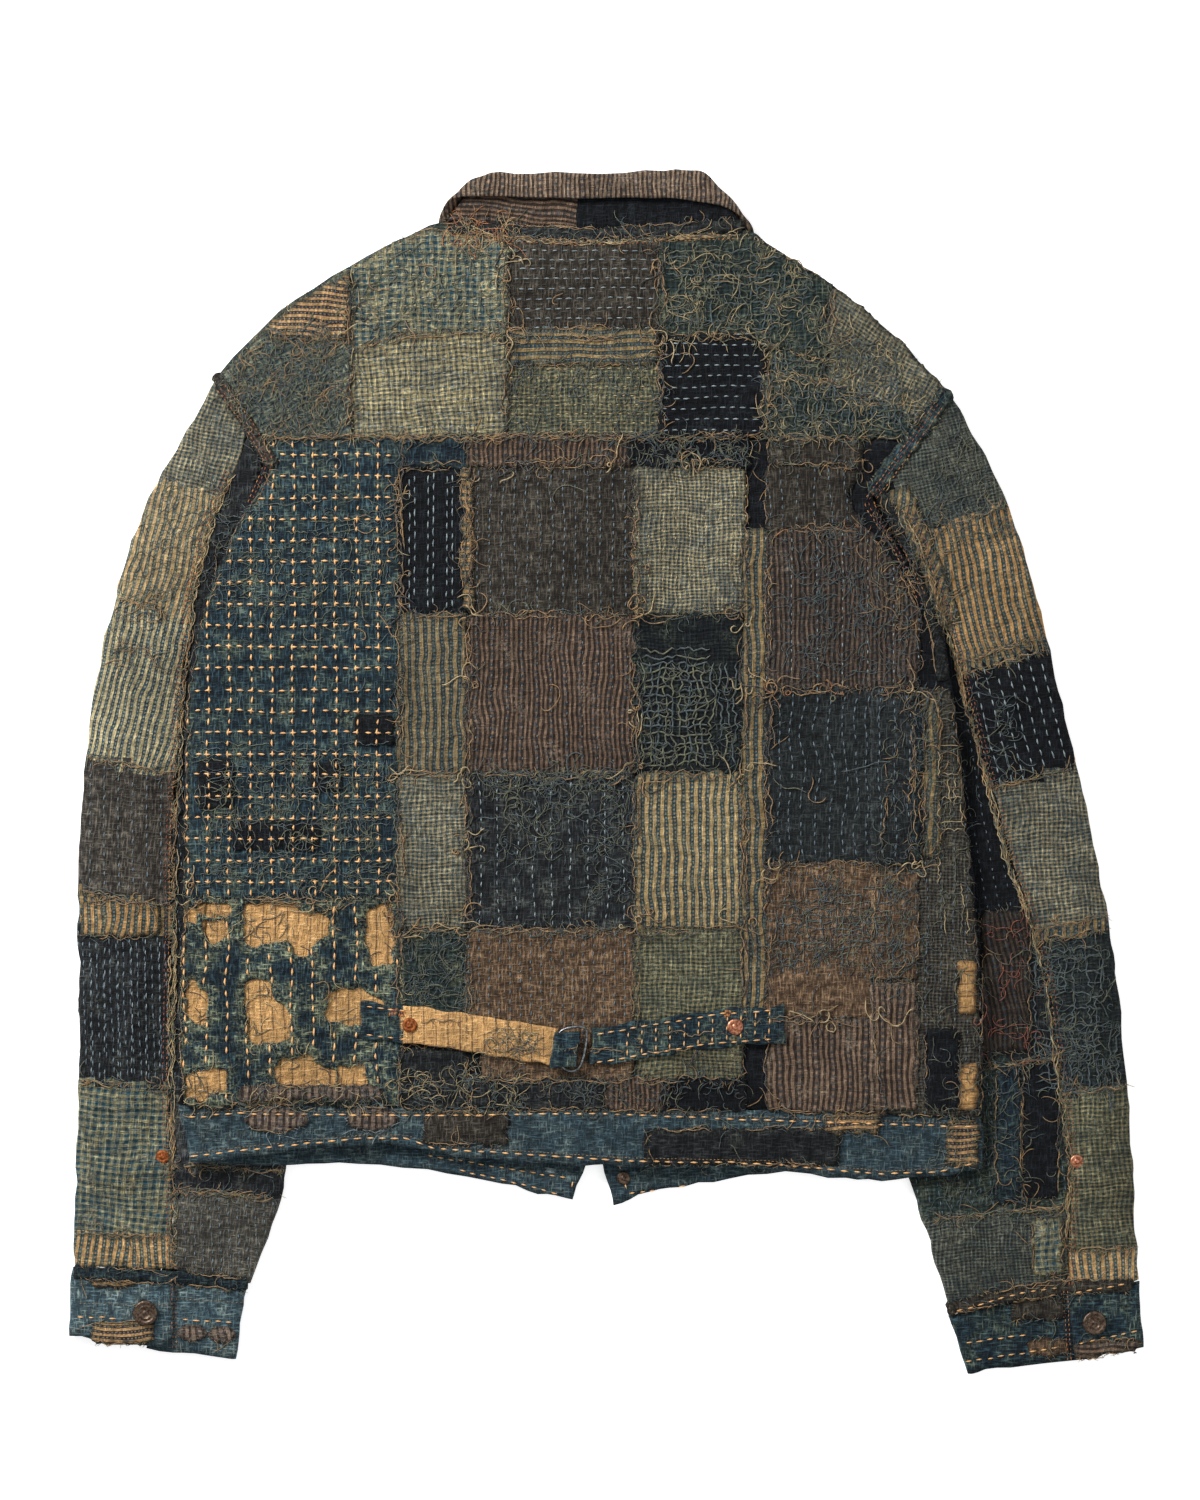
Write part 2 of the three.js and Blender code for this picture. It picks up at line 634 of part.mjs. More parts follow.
// ---------- Collar: a stand round the neck, and a fall that rolls over its top ----------
// Each station is the stand's seam edge, its top edge and the fall's outer edge, and turn goes from
// -90 degrees on the front half, under the neck, to 90 on the back half, over it.
const COLLAR = [
  { seam: [CENTRE_X - 2, 298], top: [CENTRE_X - 2, 331], fall: [-26, 262], turn: -90 },
  { seam: [-36, 303], top: [-34, 336], fall: [-52, 248], turn: -90 },
  { seam: [-61, 317], top: [-54, 347], fall: [-74, 262], turn: -90 },
  { seam: [-99, 352], top: [-84, 374], fall: [-103, 318], turn: -90 },
  { seam: [-106, 359.5], top: [-89, 381], fall: [-112, 353], turn: -60 },
  { seam: [-107.8, 362], top: [-91.2, 384.2], fall: [-111, 361], turn: -30 },
  { seam: [-109, 364], top: [-93, 387], fall: [-109, 369], turn: 0 },
  { seam: [-107.6, 365.6], top: [-91.8, 390.2], fall: [-106.5, 375.5], turn: 30 },
  { seam: [-105, 366.5], top: [-90, 393], fall: [-103, 381], turn: 60 },
  { seam: [-92, 365.5], top: [-82, 395.5], fall: [-90, 383.5], turn: 90 },
  { seam: [-22, 358.7], top: [-22, 393.5], fall: [-22, 381], turn: 90 },
  { seam: [50, 362], top: [46, 397], fall: [50, 382.5], turn: 90 },
  { seam: [76, 362.7], top: [60, 397], fall: [70, 378.5], turn: 90 },
  { seam: [88, 363], top: [67, 393], fall: [82, 373], turn: 60 },
  { seam: [90.5, 362.3], top: [69, 390.5], fall: [87, 368.5], turn: 30 },
  { seam: [92, 361], top: [70, 387.5], fall: [91.5, 364], turn: 0 },
  { seam: [91.3, 358.7], top: [71.8, 382.3], fall: [94.5, 357], turn: -30 },
  { seam: [90, 356], top: [73, 377], fall: [96, 350], turn: -60 },
  { seam: [82, 349], top: [66, 371], fall: [88, 316], turn: -90 },
  { seam: [45, 317], top: [36, 346], fall: [56, 262], turn: -90 },
  { seam: [20, 303], top: [16, 336], fall: [34, 248], turn: -90 },
  { seam: [CENTRE_X + 2, 298], top: [CENTRE_X + 2, 331], fall: [8, 262], turn: -90 },
];
const STAND_LOW = FLOOR_LAYER + COLLAR_LIFT; // level with the fronts' neckline
const STAND_HIGH = STAND_LOW + rollDrop(1) + 2.4; // level with the yoke's neck edge
const STAND_RADIUS = (STAND_HIGH - STAND_LOW) / 2;
const FALL_OFFSET = STAND_LOW - COLLAR_CLOTH / 2; // so that the collar's points lie on the floor
const FALL_ROLL = [[0, 1.7], [0.1, 2.8], [0.5, 3.6], [0.9, 2.8]]; // offset's share, reach past the top

function collarSections() {
  return COLLAR.map(({ seam, top, fall, turn }) => {
    const angle = THREE.MathUtils.degToRad(turn);
    const [low, high, free] = [seam, top, fall].map(vector);
    const along = high.clone().sub(low).normalize();
    const out = new THREE.Vector2(along.y, -along.x).multiplyScalar(low.x > CENTRE_X ? 1 : -1);
    const at = (p, offset, past) => {
      const q = p.clone().addScaledVector(along, past).addScaledVector(out, offset * Math.cos(angle));
      const height = STAND_RADIUS + (STAND_RADIUS + offset) * Math.sin(angle);
      return new THREE.Vector3(q.x, q.y, STAND_LOW + height);
    };
    const offset = FALL_OFFSET * mix(1, 1.5, (1 + Math.sin(angle)) / 2);
    const stand = [0, 0.5, 1].map((v) => at(low.clone().lerp(high, v), 0, SEAM));
    const rolled = FALL_ROLL.map(([share, past]) => at(high, share * offset, past + SEAM));
    const over = [0.25, 0.6, 1].map((v) => at(high.clone().lerp(free, v), offset, 0));
    const upward = new THREE.Vector3(along.x, along.y, 0);
    const away = new THREE.Vector3(out.x * Math.cos(angle), out.y * Math.cos(angle), Math.sin(angle));
    return { stand, fall: [...rolled, ...over], round: upward.cross(away) };
  });
}

// Across each section, the wall's thickness lies in the section's own plane.
function collarSheet(piece) {
  const rows = collar.map((section) => section[piece]);
  const normals = collar.map(({ round }, i) =>
    rows[i].map((_, j) => {
      const next = rows[i][Math.min(j + 1, rows[i].length - 1)];
      const along = next.clone().sub(rows[i][Math.max(j - 1, 0)]);
      return along.cross(round).normalize();
    }),
  );
  return sheet(rows, COLLAR_CLOTH, normals);
}

const collar = collarSections();
add("collar_stand", collarSheet("stand"), NAVY);
add("collar_fall", collarSheet("fall"), BROWN);

// ---------- Patches ----------
const PATCH_HEIGHT = CLOTH / 2 + 0.35 + PATCH / 2;
const row = (y) => BACK_YS.indexOf(y);
const column = (j) => FIRST + j; // 1 and 2 follow the left sleeve, 3 is X -140, 5 -94, 8 18, 10 91, 11 107
const BACK_PATCHES = [
  ["patch_sashiko_grid", [0, row(-88)], [FIRST, column(3)], INDIGO],
  ["patch_worn_indigo", [row(-88), END], [FIRST, column(3)], INDIGO],
  ["patch_navy_narrow", [1, row(103)], [column(3), column(5)], NAVY],
  ["patch_stripe_narrow", [row(103), row(-4)], [column(3), column(5)], TAN],
  ["patch_check_narrow", [row(-4), row(-108)], [column(3), column(5)], CHECK],
  ["patch_mesh_narrow", [row(-108), row(-168)], [column(3), column(5)], TEAL],
  ["patch_brown_plain", [1, row(103)], [column(5), column(8)], BROWN],
  ["patch_brown_stripe", [row(103), row(-4)], [column(5), column(8)], BROWN],
  ["patch_navy_worn", [row(-4), row(-108)], [column(5), column(8)], NAVY],
  ["patch_brown_low", [row(-108), row(-188)], [column(5), column(8)], BROWN],
  ["patch_check_light", [1, row(103)], [column(8), column(10)], CHECK],
  ["patch_navy_mesh", [row(103), row(-4)], [column(8), column(10)], NAVY],
  ["patch_stripe_tan", [row(-4), row(-108)], [column(8), column(10)], TAN],
  ["patch_check_low", [row(-108), row(-188)], [column(8), column(10)], CHECK],
  ["patch_strip", [row(160), row(-168)], [column(10), column(11)], TAN],
  ["patch_grey_right", [1, row(160)], [column(11), column(13)], BROWN],
  ["patch_brown_mesh", [row(160), row(53)], [column(11), column(13)], BROWN],
  ["patch_teal_right", [row(53), row(-64)], [column(11), column(13)], TEAL],
  ["patch_brown_worn", [row(-64), row(-168)], [column(11), column(13)], BROWN],
  ["patch_brown_rib", [row(-168), END], [column(11), column(13)], BROWN],
  ["patch_side_right", [row(53), END], [column(13), LAST], TEAL],
];
const YOKE_PATCHES = [
  ["patch_yoke_blue", [YOKE_SPLIT, YOKE_TOP], [2, 6], CHECK],
  ["patch_yoke_grey", [YOKE_SPLIT, YOKE_TOP], [6, 8], BROWN],
  ["patch_yoke_green", [YOKE_SPLIT, YOKE_TOP], [8, 12], TEAL],
  ["patch_yoke_check", [0, YOKE_SPLIT], [2, 6], CHECK],
  ["patch_yoke_mixed", [0, YOKE_SPLIT], [6, 8], TAN],
  ["patch_yoke_navy", [0, YOKE_SPLIT], [8, 11], NAVY],
  ["patch_shoulder_left", [0, YOKE_TOP], [0, 2], TEAL],
  ["patch_shoulder_right", [SHOULDER_SPLIT, YOKE_TOP], [12, 14], CHECK],
  ["patch_shoulder_worn", [0, SHOULDER_SPLIT], [11, 14], TEAL],
];
for (const [name, rows, columns, colour] of BACK_PATCHES) {
  add(name, sheet(patchRows(back, rows, columns, PATCH_HEIGHT), PATCH), colour);
}
for (const [name, rows, columns, colour] of YOKE_PATCHES) {
  add(name, sheet(patchRows(yoke, rows, columns, PATCH_HEIGHT), PATCH), colour);
}

// ---------- Cinch belt: two tabs sewn on the back, a keeper and a buckle ----------
const ON_PATCHES = CLOTH / 2 + 0.35 + PATCH + 0.35;
const TAB_WIDTH = 25;
const TAB_RISE = 0.7;
const tabLine = {
  left: through([[-166, -169], [-130, -172], [-80, -179], [-33, -186]]),
  right: through([[-17, -187], [20, -182], [70, -174], [118, -171]]),
};
const tabTop = (x, y) => backHeight(x, y) + ON_PATCHES + TAB_RISE + TAB_CLOTH;

function tabRows(line, xs) {
  return xs.map((x) =>
    [-0.5, 0, 0.5].map((v) => {
      const y = line(x) + v * TAB_WIDTH;
      return new THREE.Vector3(x, y, backHeight(x, y) + ON_PATCHES + TAB_RISE + TAB_CLOTH / 2);
    }),
  );
}

const tab = {
  left: tabRows(tabLine.left, [-166, -140, -117, -94, -57, -34]),
  right: tabRows(tabLine.right, [-12, 18, 55, 91, 107, 118]),
};
add("cinch_tab_left", sheet(tab.left, TAB_CLOTH), PEACH);
add("cinch_tab_right", sheet(tab.right, TAB_CLOTH), INDIGO);

// A closed ring of round wire through these points.
function wireRing(points, radius, sides = 6) {
  const positions = [];
  const index = [];
  const count = points.length;
  points.forEach((p, k) => {
    const ahead = points[(k + 1) % count].clone().sub(points[(k + count - 1) % count]).normalize();
    const up = new THREE.Vector3(0, 0, 1);
    const out = new THREE.Vector3().crossVectors(ahead, up).normalize();
    for (let s = 0; s < sides; s++) {
      const angle = (2 * Math.PI * s) / sides;
      const at = p.clone().addScaledVector(out, radius * Math.cos(angle));
      positions.push(...at.addScaledVector(up, radius * Math.sin(angle)).toArray());
    }
  });
  for (let k = 0; k < count; k++) {
    for (let s = 0; s < sides; s++) {
      const next = (k + 1) % count;
      const turn = (s + 1) % sides;
      const [a, b, c, d] = [k * sides + s, next * sides + s, next * sides + turn, k * sides + turn];
      index.push(a, b, c, a, c, d);
    }
  }
  const geometry = new THREE.BufferGeometry();
  geometry.setAttribute("position", new THREE.Float32BufferAttribute(positions, 3));
  geometry.setIndex(index);
  return facingOut(geometry);
}

const WIRE = 1.1;
const BUCKLE = { x: -24, y: -187.5, width: 20, height: 32, corner: 4, tilt: -0.1 };
const KEEPER_LENGTH = 13;
const KEEPER_STEPS = 6; // facets round the bar
const KEEPER_START = 1.08; // half-turns from +X
const KEEPER_TURN = 0.6;
const BUCKLE_Z = tabTop(BUCKLE.x, BUCKLE.y) + WIRE + 0.5;

function buckleRing() {
  const { x, y, width, height, corner, tilt } = BUCKLE;
  const points = [];
  const centres = [[1, 1], [-1, 1], [-1, -1], [1, -1]];
  centres.forEach(([sx, sy], quarter) => {
    for (let k = 0; k <= 2; k++) {
      const angle = (Math.PI / 2) * (quarter + k / 2);
      const px = sx * (width / 2 - corner) + corner * Math.cos(angle);
      const py = sy * (height / 2 - corner) + corner * Math.sin(angle);
      const p = new THREE.Vector2(px, py).rotateAround(new THREE.Vector2(), tilt);
      points.push(new THREE.Vector3(x + p.x, y + p.y, BUCKLE_Z));
    }
  });
  return wireRing(points, WIRE);
}

// The right tab's end, folded over the buckle's left bar.
function keeperRows() {
  const bar = BUCKLE.x - BUCKLE.width / 2;
  const radius = WIRE + 0.4 + TAB_CLOTH / 2;
  const sections = [];
  for (let k = 0; k <= KEEPER_STEPS; k++) {
    const angle = Math.PI * (KEEPER_START - (k / KEEPER_STEPS) * KEEPER_TURN);
    sections.push([bar + radius * Math.cos(angle), BUCKLE_Z + radius * Math.sin(angle)]);
  }
  sections.push([bar + KEEPER_LENGTH / 2, BUCKLE_Z + radius]);
  sections.push([bar + KEEPER_LENGTH, BUCKLE_Z + radius]);
  const half = TAB_WIDTH / 2 - 1;
  const at = (x, across, z) => new THREE.Vector3(x - across * BUCKLE.tilt, BUCKLE.y + across, z);
  return sections.map(([x, z]) => [-half, 0, half].map((across) => at(x, across, z)));
}

add("cinch_buckle", buckleRing(), STEEL, 0.35, 1);
add("cinch_keeper", sheet(keeperRows(), TAB_CLOTH), INDIGO);

// ---------- Rivets and buttons, turned on their own axes ----------
const ROUND_SIDES = 12;

function turned(profile) {
  const geometry = new THREE.LatheGeometry(profile.map(([r, h]) => new THREE.Vector2(r, h)), ROUND_SIDES);
  return geometry.rotateX(Math.PI / 2);
}

// Places a round piece on a sheet, at a fractional row and column of its grid.
function seat(geometry, rows, i, j, thickness) {
  const [r, c] = [Math.floor(i), Math.floor(j)];
  const [p, q] = [i - r, j - c];
  const near = rows[r][c].clone().lerp(rows[r][c + 1], q);
  const far = rows[r + 1][c].clone().lerp(rows[r + 1][c + 1], q);
  const across = rows[r][c + 1].clone().sub(rows[r][c]);
  const normal = across.cross(far.clone().sub(near)).normalize();
  normal.multiplyScalar(Math.sign(normal.z));
  const at = near.lerp(far, p).addScaledVector(normal, thickness / 2 + SEAM);
  const turn = new THREE.Quaternion().setFromUnitVectors(new THREE.Vector3(0, 0, 1), normal);
  return geometry.applyQuaternion(turn).translate(at.x, at.y, at.z);
}

// A burr: a low washer with the clenched post in its middle.
const burr = (r) =>
  turned([[0, 0], [r * 0.86, 0], [r, 0.5], [r * 0.8, 1.1], [r * 0.4, 0.8], [r * 0.3, 1.4], [0, 1.5]]);
// A work button: a low drum with a rounded rim.
const button = (r, h) =>
  turned([[0, 0], [r * 0.8, 0], [r, h * 0.4], [r * 0.9, h * 0.9], [r * 0.6, h], [0, h]]);

add("rivet_cinch_left", seat(burr(5), tab.left, 1.3, 1, TAB_CLOTH), COPPER, 0.5, 1);
add("rivet_cinch_right", seat(burr(5.4), tab.right, 2.83, 1, TAB_CLOTH), COPPER, 0.4, 1);
add("rivet_sleeve_left", seat(burr(4.6), panels.left.outerRows, 9.05, 0.45, CLOTH), COPPER, 0.5, 1);
add("rivet_sleeve_right", seat(burr(4.7), panels.right.outerRows, 8.85, 0.55, CLOTH), COPPER, 0.4, 1);
add("button_cuff_left", seat(button(8.3, 4.2), cuff.left, 0.65, 1.1, CLOTH), BRONZE, 0.45, 1);
add("button_cuff_right", seat(button(8, 4.2), cuff.right, 0.75, 1.02, CLOTH), BRONZE, 0.45, 1);

// The closure's button heads, face to the floor, and the tack of the open waistband's button on top.
const HEAD = { radius: 8.3, height: 2 };
const headProfile = [[0, 0], [HEAD.radius, 0], [HEAD.radius * 0.9, HEAD.height], [0, HEAD.height]];
const OPEN_BUTTON = [10, -275];
[240, 125, 10, -105].forEach((y, k) => {
  add(`button_front_${k + 1}`, turned(headProfile).translate(CENTRE_X, y, 0), BRONZE, 0.45, 1);
});
add("button_waist", turned(headProfile).translate(...OPEN_BUTTON, 0), BRONZE, 0.45, 1);
const TACK_Z = frontHeight(...OPEN_BUTTON) + CLOTH / 2 + SEAM;
add("tack_waist", burr(4.5).translate(...OPEN_BUTTON, TACK_Z), BRONZE, 0.5, 1);

// ---------- The origin: under the middle of the whole jacket, on the floor ----------
const bounds = new THREE.Box3().setFromObject(jacket);
const middle = bounds.getCenter(new THREE.Vector3());
jacket.children.forEach((mesh) => mesh.geometry.translate(-middle.x, -middle.y, -bounds.min.z));

export default jacket;
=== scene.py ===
"""A patched boro jacket laid face down: its cloth, stitches, worn threads and metal, in the part's frame."""
import math
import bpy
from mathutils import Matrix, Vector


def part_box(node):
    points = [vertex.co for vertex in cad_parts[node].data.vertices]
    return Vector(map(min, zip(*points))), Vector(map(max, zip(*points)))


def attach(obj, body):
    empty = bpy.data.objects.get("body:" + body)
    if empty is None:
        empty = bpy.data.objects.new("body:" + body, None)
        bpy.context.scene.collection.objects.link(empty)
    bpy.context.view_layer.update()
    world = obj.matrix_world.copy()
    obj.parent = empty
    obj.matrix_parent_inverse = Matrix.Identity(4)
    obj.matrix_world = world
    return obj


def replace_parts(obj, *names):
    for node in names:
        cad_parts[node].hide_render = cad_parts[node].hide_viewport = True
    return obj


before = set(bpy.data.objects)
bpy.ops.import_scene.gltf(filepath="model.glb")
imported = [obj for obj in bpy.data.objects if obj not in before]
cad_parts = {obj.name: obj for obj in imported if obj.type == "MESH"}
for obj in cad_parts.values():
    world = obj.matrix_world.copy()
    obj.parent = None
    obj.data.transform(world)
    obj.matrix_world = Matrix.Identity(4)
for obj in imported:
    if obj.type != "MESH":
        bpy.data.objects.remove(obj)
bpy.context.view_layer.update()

import zlib

import bmesh
import bpy
import numpy as np
from mathutils import Vector, geometry
from mathutils.bvhtree import BVHTree

MM = 0.001  # shapes are worked out in millimetres
CELL = 3.6  # spacing of a patch's points
PATCH_THICKNESS = 0.8
PATCH_GAP = 0.25
DOWN = Vector((0, 0, -1))
ABOVE = 90.0  # height from which rays look down
LOWEST_TOP = 2.0  # patch rims and loose threads stay where the cloth is at least this high
TURN = 2 * math.pi
ANY_ANGLE = (0, 6.28)  # headings and phases are drawn between these


# ---------- Small tools ----------
def draws(name):
    """Random draws of a piece's own, the same each run."""
    return np.random.default_rng(zlib.crc32(name.encode()))


def smooth(x, low, high):
    t = np.clip((np.asarray(x, float) - low) / (high - low), 0, 1)
    return t * t * (3 - 2 * t)


def waves(name, size, count=9):
    """A smooth random height field, about -1 to 1, whose hills are about this size apart."""
    rng = draws("waves " + name)
    heading = rng.uniform(0, TURN, count)
    turns = TURN / (size * rng.uniform(0.7, 1.6, count))
    phase = rng.uniform(0, TURN, count)

    def at(x, y):
        x, y = np.asarray(x, float)[..., None], np.asarray(y, float)[..., None]
        return np.sin(turns * (x * np.cos(heading) + y * np.sin(heading)) + phase).mean(-1) * 1.7

    return at


def box_of(node):
    """A CAD node's lowest and highest corner, in millimetres."""
    low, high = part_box(node)
    return np.array(low) / MM, np.array(high) / MM


def corners_of(box):
    """The low and high corner of a flat box."""
    return np.array(box[:2], float), np.array(box[2:], float)


def box_loop(x0, y0, x1, y1):
    return np.array([(x0, y0), (x1, y0), (x1, y1), (x0, y1)], float)


def inside(points, loop, holes=()):
    """Which points lie inside a closed loop and outside its holes."""
    x, y = points[:, 0][:, None], points[:, 1][:, None]
    x0, y0 = loop[:, 0][None], loop[:, 1][None]
    x1, y1 = np.roll(loop[:, 0], -1)[None], np.roll(loop[:, 1], -1)[None]
    crosses = (y0 > y) != (y1 > y)
    with np.errstate(divide="ignore", invalid="ignore"):
        at = x0 + (y - y0) * (x1 - x0) / (y1 - y0)
    keep = (crosses & (x < at)).sum(1) % 2 == 1
    for hole in holes:
        keep &= ~inside(points, hole)
    return keep


def loop_area(loop):
    x, y = loop[:, 0], loop[:, 1]
    return 0.5 * np.sum(x * np.roll(y, -1) - y * np.roll(x, -1))


def unit(vectors):
    """The vectors at length one."""
    return vectors / (np.linalg.norm(vectors, axis=-1, keepdims=True) + 1e-9)


def run_of(path):
    """How far along a path each of its points is."""
    return np.concatenate([[0], np.cumsum(np.linalg.norm(np.diff(path, axis=0), axis=1))])


def length_of(path):
    return np.linalg.norm(np.diff(path, axis=0), axis=1).sum()


def at_run(values, run, at):
    """A path's values at these distances along it."""
    return np.stack([np.interp(at, run, column) for column in values.T], 1)


def spaced(line, step, closed=True):
    """Points a step apart along a line."""
    line = np.asarray(line, float)
    path = np.vstack([line, line[:1]]) if closed else line
    run = run_of(path)
    count = max(int(round(run[-1] / step)), 3)
    return at_run(path, run, np.linspace(0, run[-1], count + (not closed), endpoint=not closed))


def between(*points):
    """An open path through these points, in steps of 5 mm."""
    return spaced(points, 5.0, closed=False)


def rounded(loop):
    """The loop with its corners cut once."""
    ahead = np.roll(loop, -1, 0)
    return np.stack([loop * 0.75 + ahead * 0.25, loop * 0.25 + ahead * 0.75], 1).reshape(-1, 2)


def outward(loop):
    """Unit vectors out of a loop that runs anticlockwise."""
    along = unit(np.roll(loop, -1, 0) - np.roll(loop, 1, 0))
    return np.stack([along[:, 1], -along[:, 0]], 1)


def leftward(path):
    """Unit vectors to the left of an open path."""
    along = unit(np.gradient(path, axis=0))
    return np.stack([-along[:, 1], along[:, 0]], 1)


def rings_round(ahead, angles):
    """Unit vectors that stand round each point of a path, from its unit direction there."""
    side = unit(np.stack([ahead[..., 1], -ahead[..., 0], np.zeros(ahead.shape[:-1])], -1))
    up = np.cross(side, ahead)
    return side[..., None, :] * np.cos(angles)[:, None] + up[..., None, :] * np.sin(angles)[:, None]


def ring_quads(rings, sides, closed=False):
    """The faces between rings of points that follow each other."""
    k = np.arange(rings if closed else rings - 1)[:, None] * sides
    ahead = (k + sides) % (rings * sides)
    s = np.arange(sides)
    turn = (s + 1) % sides
    return np.stack([k + s, ahead + s, ahead + turn, k + turn], -1).reshape(-1, 4)


def read(items, what, width, kind=np.float32):
    """One property of all of a mesh's points or faces."""
    values = np.zeros(len(items) * width, kind)
    items.foreach_get(what, values)
    return values.reshape(-1, width)


def set_values(mesh, name, values):
    """Gives each point of a mesh a value that its material reads."""
    mesh.attributes.new(name, "FLOAT", "POINT").data.foreach_set("value", values.astype(np.float32))


def new_mesh(name, points, *groups):
    """A smooth mesh from points in millimetres and arrays of faces, one array for each number of corners."""
    groups = [np.asarray(g, np.int32) for g in groups if len(g)]
    corners = np.concatenate([g.ravel() for g in groups])
    sizes = np.concatenate([np.full(len(g), g.shape[1]) for g in groups])
    starts = np.concatenate([[0], np.cumsum(sizes)[:-1]]).astype(np.int32)
    mesh = bpy.data.meshes.new(name)
    mesh.vertices.add(len(points))
    mesh.vertices.foreach_set("co", (np.asarray(points) * MM).astype(np.float32).ravel())
    mesh.loops.add(len(corners))
    mesh.loops.foreach_set("vertex_index", corners)
    mesh.polygons.add(len(sizes))
    mesh.polygons.foreach_set("loop_start", starts)
    mesh.update(calc_edges=True)
    mesh.validate()
    mesh.shade_smooth()
    return mesh


def new_piece(name, mesh, materials):
    """An object that rides on the garment's one body."""
    piece = bpy.data.objects.new(name, mesh)
    bpy.context.scene.collection.objects.link(piece)
    for material in materials:
        mesh.materials.append(material)
    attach(piece, "root")
    return piece


# ---------- Materials ----------
def paint(code):
    """A colour from its web code."""
    parts = [(code >> shift & 255) / 255 for shift in (16, 8, 0)]
    return (*[c / 12.92 if c <= 0.04045 else ((c + 0.055) / 1.055) ** 2.4 for c in parts], 1)


class Shading:
    """Writes shader nodes: each method adds one and gives back its output. Lengths are in millimetres."""

    def __init__(self, name):
        self.material = bpy.data.materials.new(name)
        self.material.use_nodes = True
        self.tree = self.material.node_tree
        self.shader = self.tree.nodes["Principled BSDF"]
        place = self.node("ShaderNodeTexCoord").outputs["Object"]
        self.place = self.node("ShaderNodeVectorMath", {0: place, 3: 1 / MM}, operation="SCALE").outputs[0]

    def node(self, kind, inputs=None, **settings):
        node = self.tree.nodes.new(kind)
        for key, value in settings.items():
            setattr(node, key, value)
        for key, value in (inputs or {}).items():
            self.set(node.inputs[key], value)
        return node

    def set(self, socket, value):
        if isinstance(value, bpy.types.NodeSocket):
            self.tree.links.new(value, socket)
        else:
            socket.default_value = value

    def math(self, operation, *values):
        return self.node("ShaderNodeMath", dict(enumerate(values)), operation=operation).outputs[0]

    def times(self, a, b):
        return self.math("MULTIPLY", a, b)

    def plus(self, a, b):
        return self.math("ADD", a, b)

    def minus(self, a, b):
        return self.math("SUBTRACT", a, b)

    def along(self, degrees):
        """How far along a direction in the floor's plane."""
        a = math.radians(degrees)
        values = {0: self.place, 1: (math.cos(a), math.sin(a), 0)}
        return self.node("ShaderNodeVectorMath", values, operation="DOT_PRODUCT").outputs["Value"]

    def noise(self, size, detail=2.0, at=None):
        values = {"Vector": at or self.place, "Scale": 1 / size, "Detail": detail}
        return self.node("ShaderNodeTexNoise", values).outputs["Fac"]

    def ramp(self, value, low, high, to_low=0.0, to_high=1.0):
        values = {"Value": value, "From Min": low, "From Max": high, "To Min": to_low, "To Max": to_high}
        return self.node("ShaderNodeMapRange", values, interpolation_type="SMOOTHSTEP").outputs["Result"]

    def mix(self, share, a, b, blend="MIX"):
        values = {0: share, 6: a, 7: b}
        return self.node("ShaderNodeMix", values, data_type="RGBA", blend_type=blend).outputs[2]

    def bars(self, u, period, share=0.5, edge=0.25):
        """1 on bars across u, and 0 between them."""
        wave = self.math("SINE", self.times(u, TURN / period))
        middle = math.cos(math.pi * share)
        return self.ramp(wave, middle - edge, middle + edge)

    def streaks(self, degrees, width, length):
        """Noise drawn out along a direction."""
        rate = {"X": self.times(self.along(degrees), 1 / length)}
        rate["Y"] = self.times(self.along(degrees + 90), 1 / width)
        return self.noise(1.0, 3.0, self.node("ShaderNodeCombineXYZ", rate).outputs[0])

    def value(self, name):
        """A value that the mesh carries at its points."""
        return self.node("ShaderNodeAttribute", attribute_name=name).outputs["Fac"]

    def finish(self, colour, bump, depth=0.5, roughness=0.92, sheen=0.15):
        self.set(self.shader.inputs["Base Color"], colour)
        for socket, value in (("Roughness", roughness), ("Sheen Weight", sheen), ("Sheen Roughness", 0.6),
                              ("Specular IOR Level", 0.15)):
            self.shader.inputs[socket].default_value = value
        values = {"Height": bump, "Distance": depth * MM, "Strength": 0.9}
        self.set(self.shader.inputs["Normal"], self.node("ShaderNodeBump", values).outputs["Normal"])
        return self.material


class Weave(Shading):
    """A cloth's colours, threads and faded places. Its stripes run at turn degrees from up."""

    def __init__(self, name, turn, main, second, worn, period, wear, share=0.5):
        super().__init__(name)
        self.main, self.second, self.worn = paint(main), paint(second), paint(worn)
        self.turn, self.period, self.share, self.wear = turn, period, share, wear
        sway = self.times(self.minus(self.noise(30.0, 1.0), 0.5), 8.0)
        jitter = self.times(self.minus(self.noise(3.2, 2.0), 0.5), 0.9)
        self.wander = self.plus(sway, jitter)
        self.across = self.plus(self.along(turn), self.wander)
        self.up = self.plus(self.along(turn + 90), self.wander)
        self.warp = self.streaks(turn + 90, 1.3, 7.0)
        self.weft = self.streaks(turn, 1.3, 6.0)
        self.grain = self.ramp(self.math("MAXIMUM", self.warp, self.weft), 0.43, 0.72)
        self.patchy = self.noise(11.0, 4.0)
        self.faded = self.ramp(self.patchy, 0.45, 0.68)


def plain(g):
    """Flat cloth, with its weft showing where it is faded."""
    colour = g.mix(g.ramp(g.plus(g.warp, g.times(g.patchy, 0.5)), 0.55, 0.95), g.second, g.main)
    ghost = g.times(g.bars(g.up, g.period, 0.4, 0.4), g.ramp(g.weft, 0.45, 0.62))
    return g.mix(g.times(g.times(ghost, g.faded), g.wear), colour, g.worn), g.grain


def stripes(g):
    """Fine upright stripes with a few blue dots."""
    bar = g.bars(g.across, g.period, g.share, 0.35)
    dots = g.times(g.bars(g.across, g.period * 3, 0.22), g.bars(g.up, 4.4, 0.5))
    return g.mix(g.times(dots, 0.7), g.mix(bar, g.main, g.second), paint(0x2C3942)), g.minus(g.grain, bar)


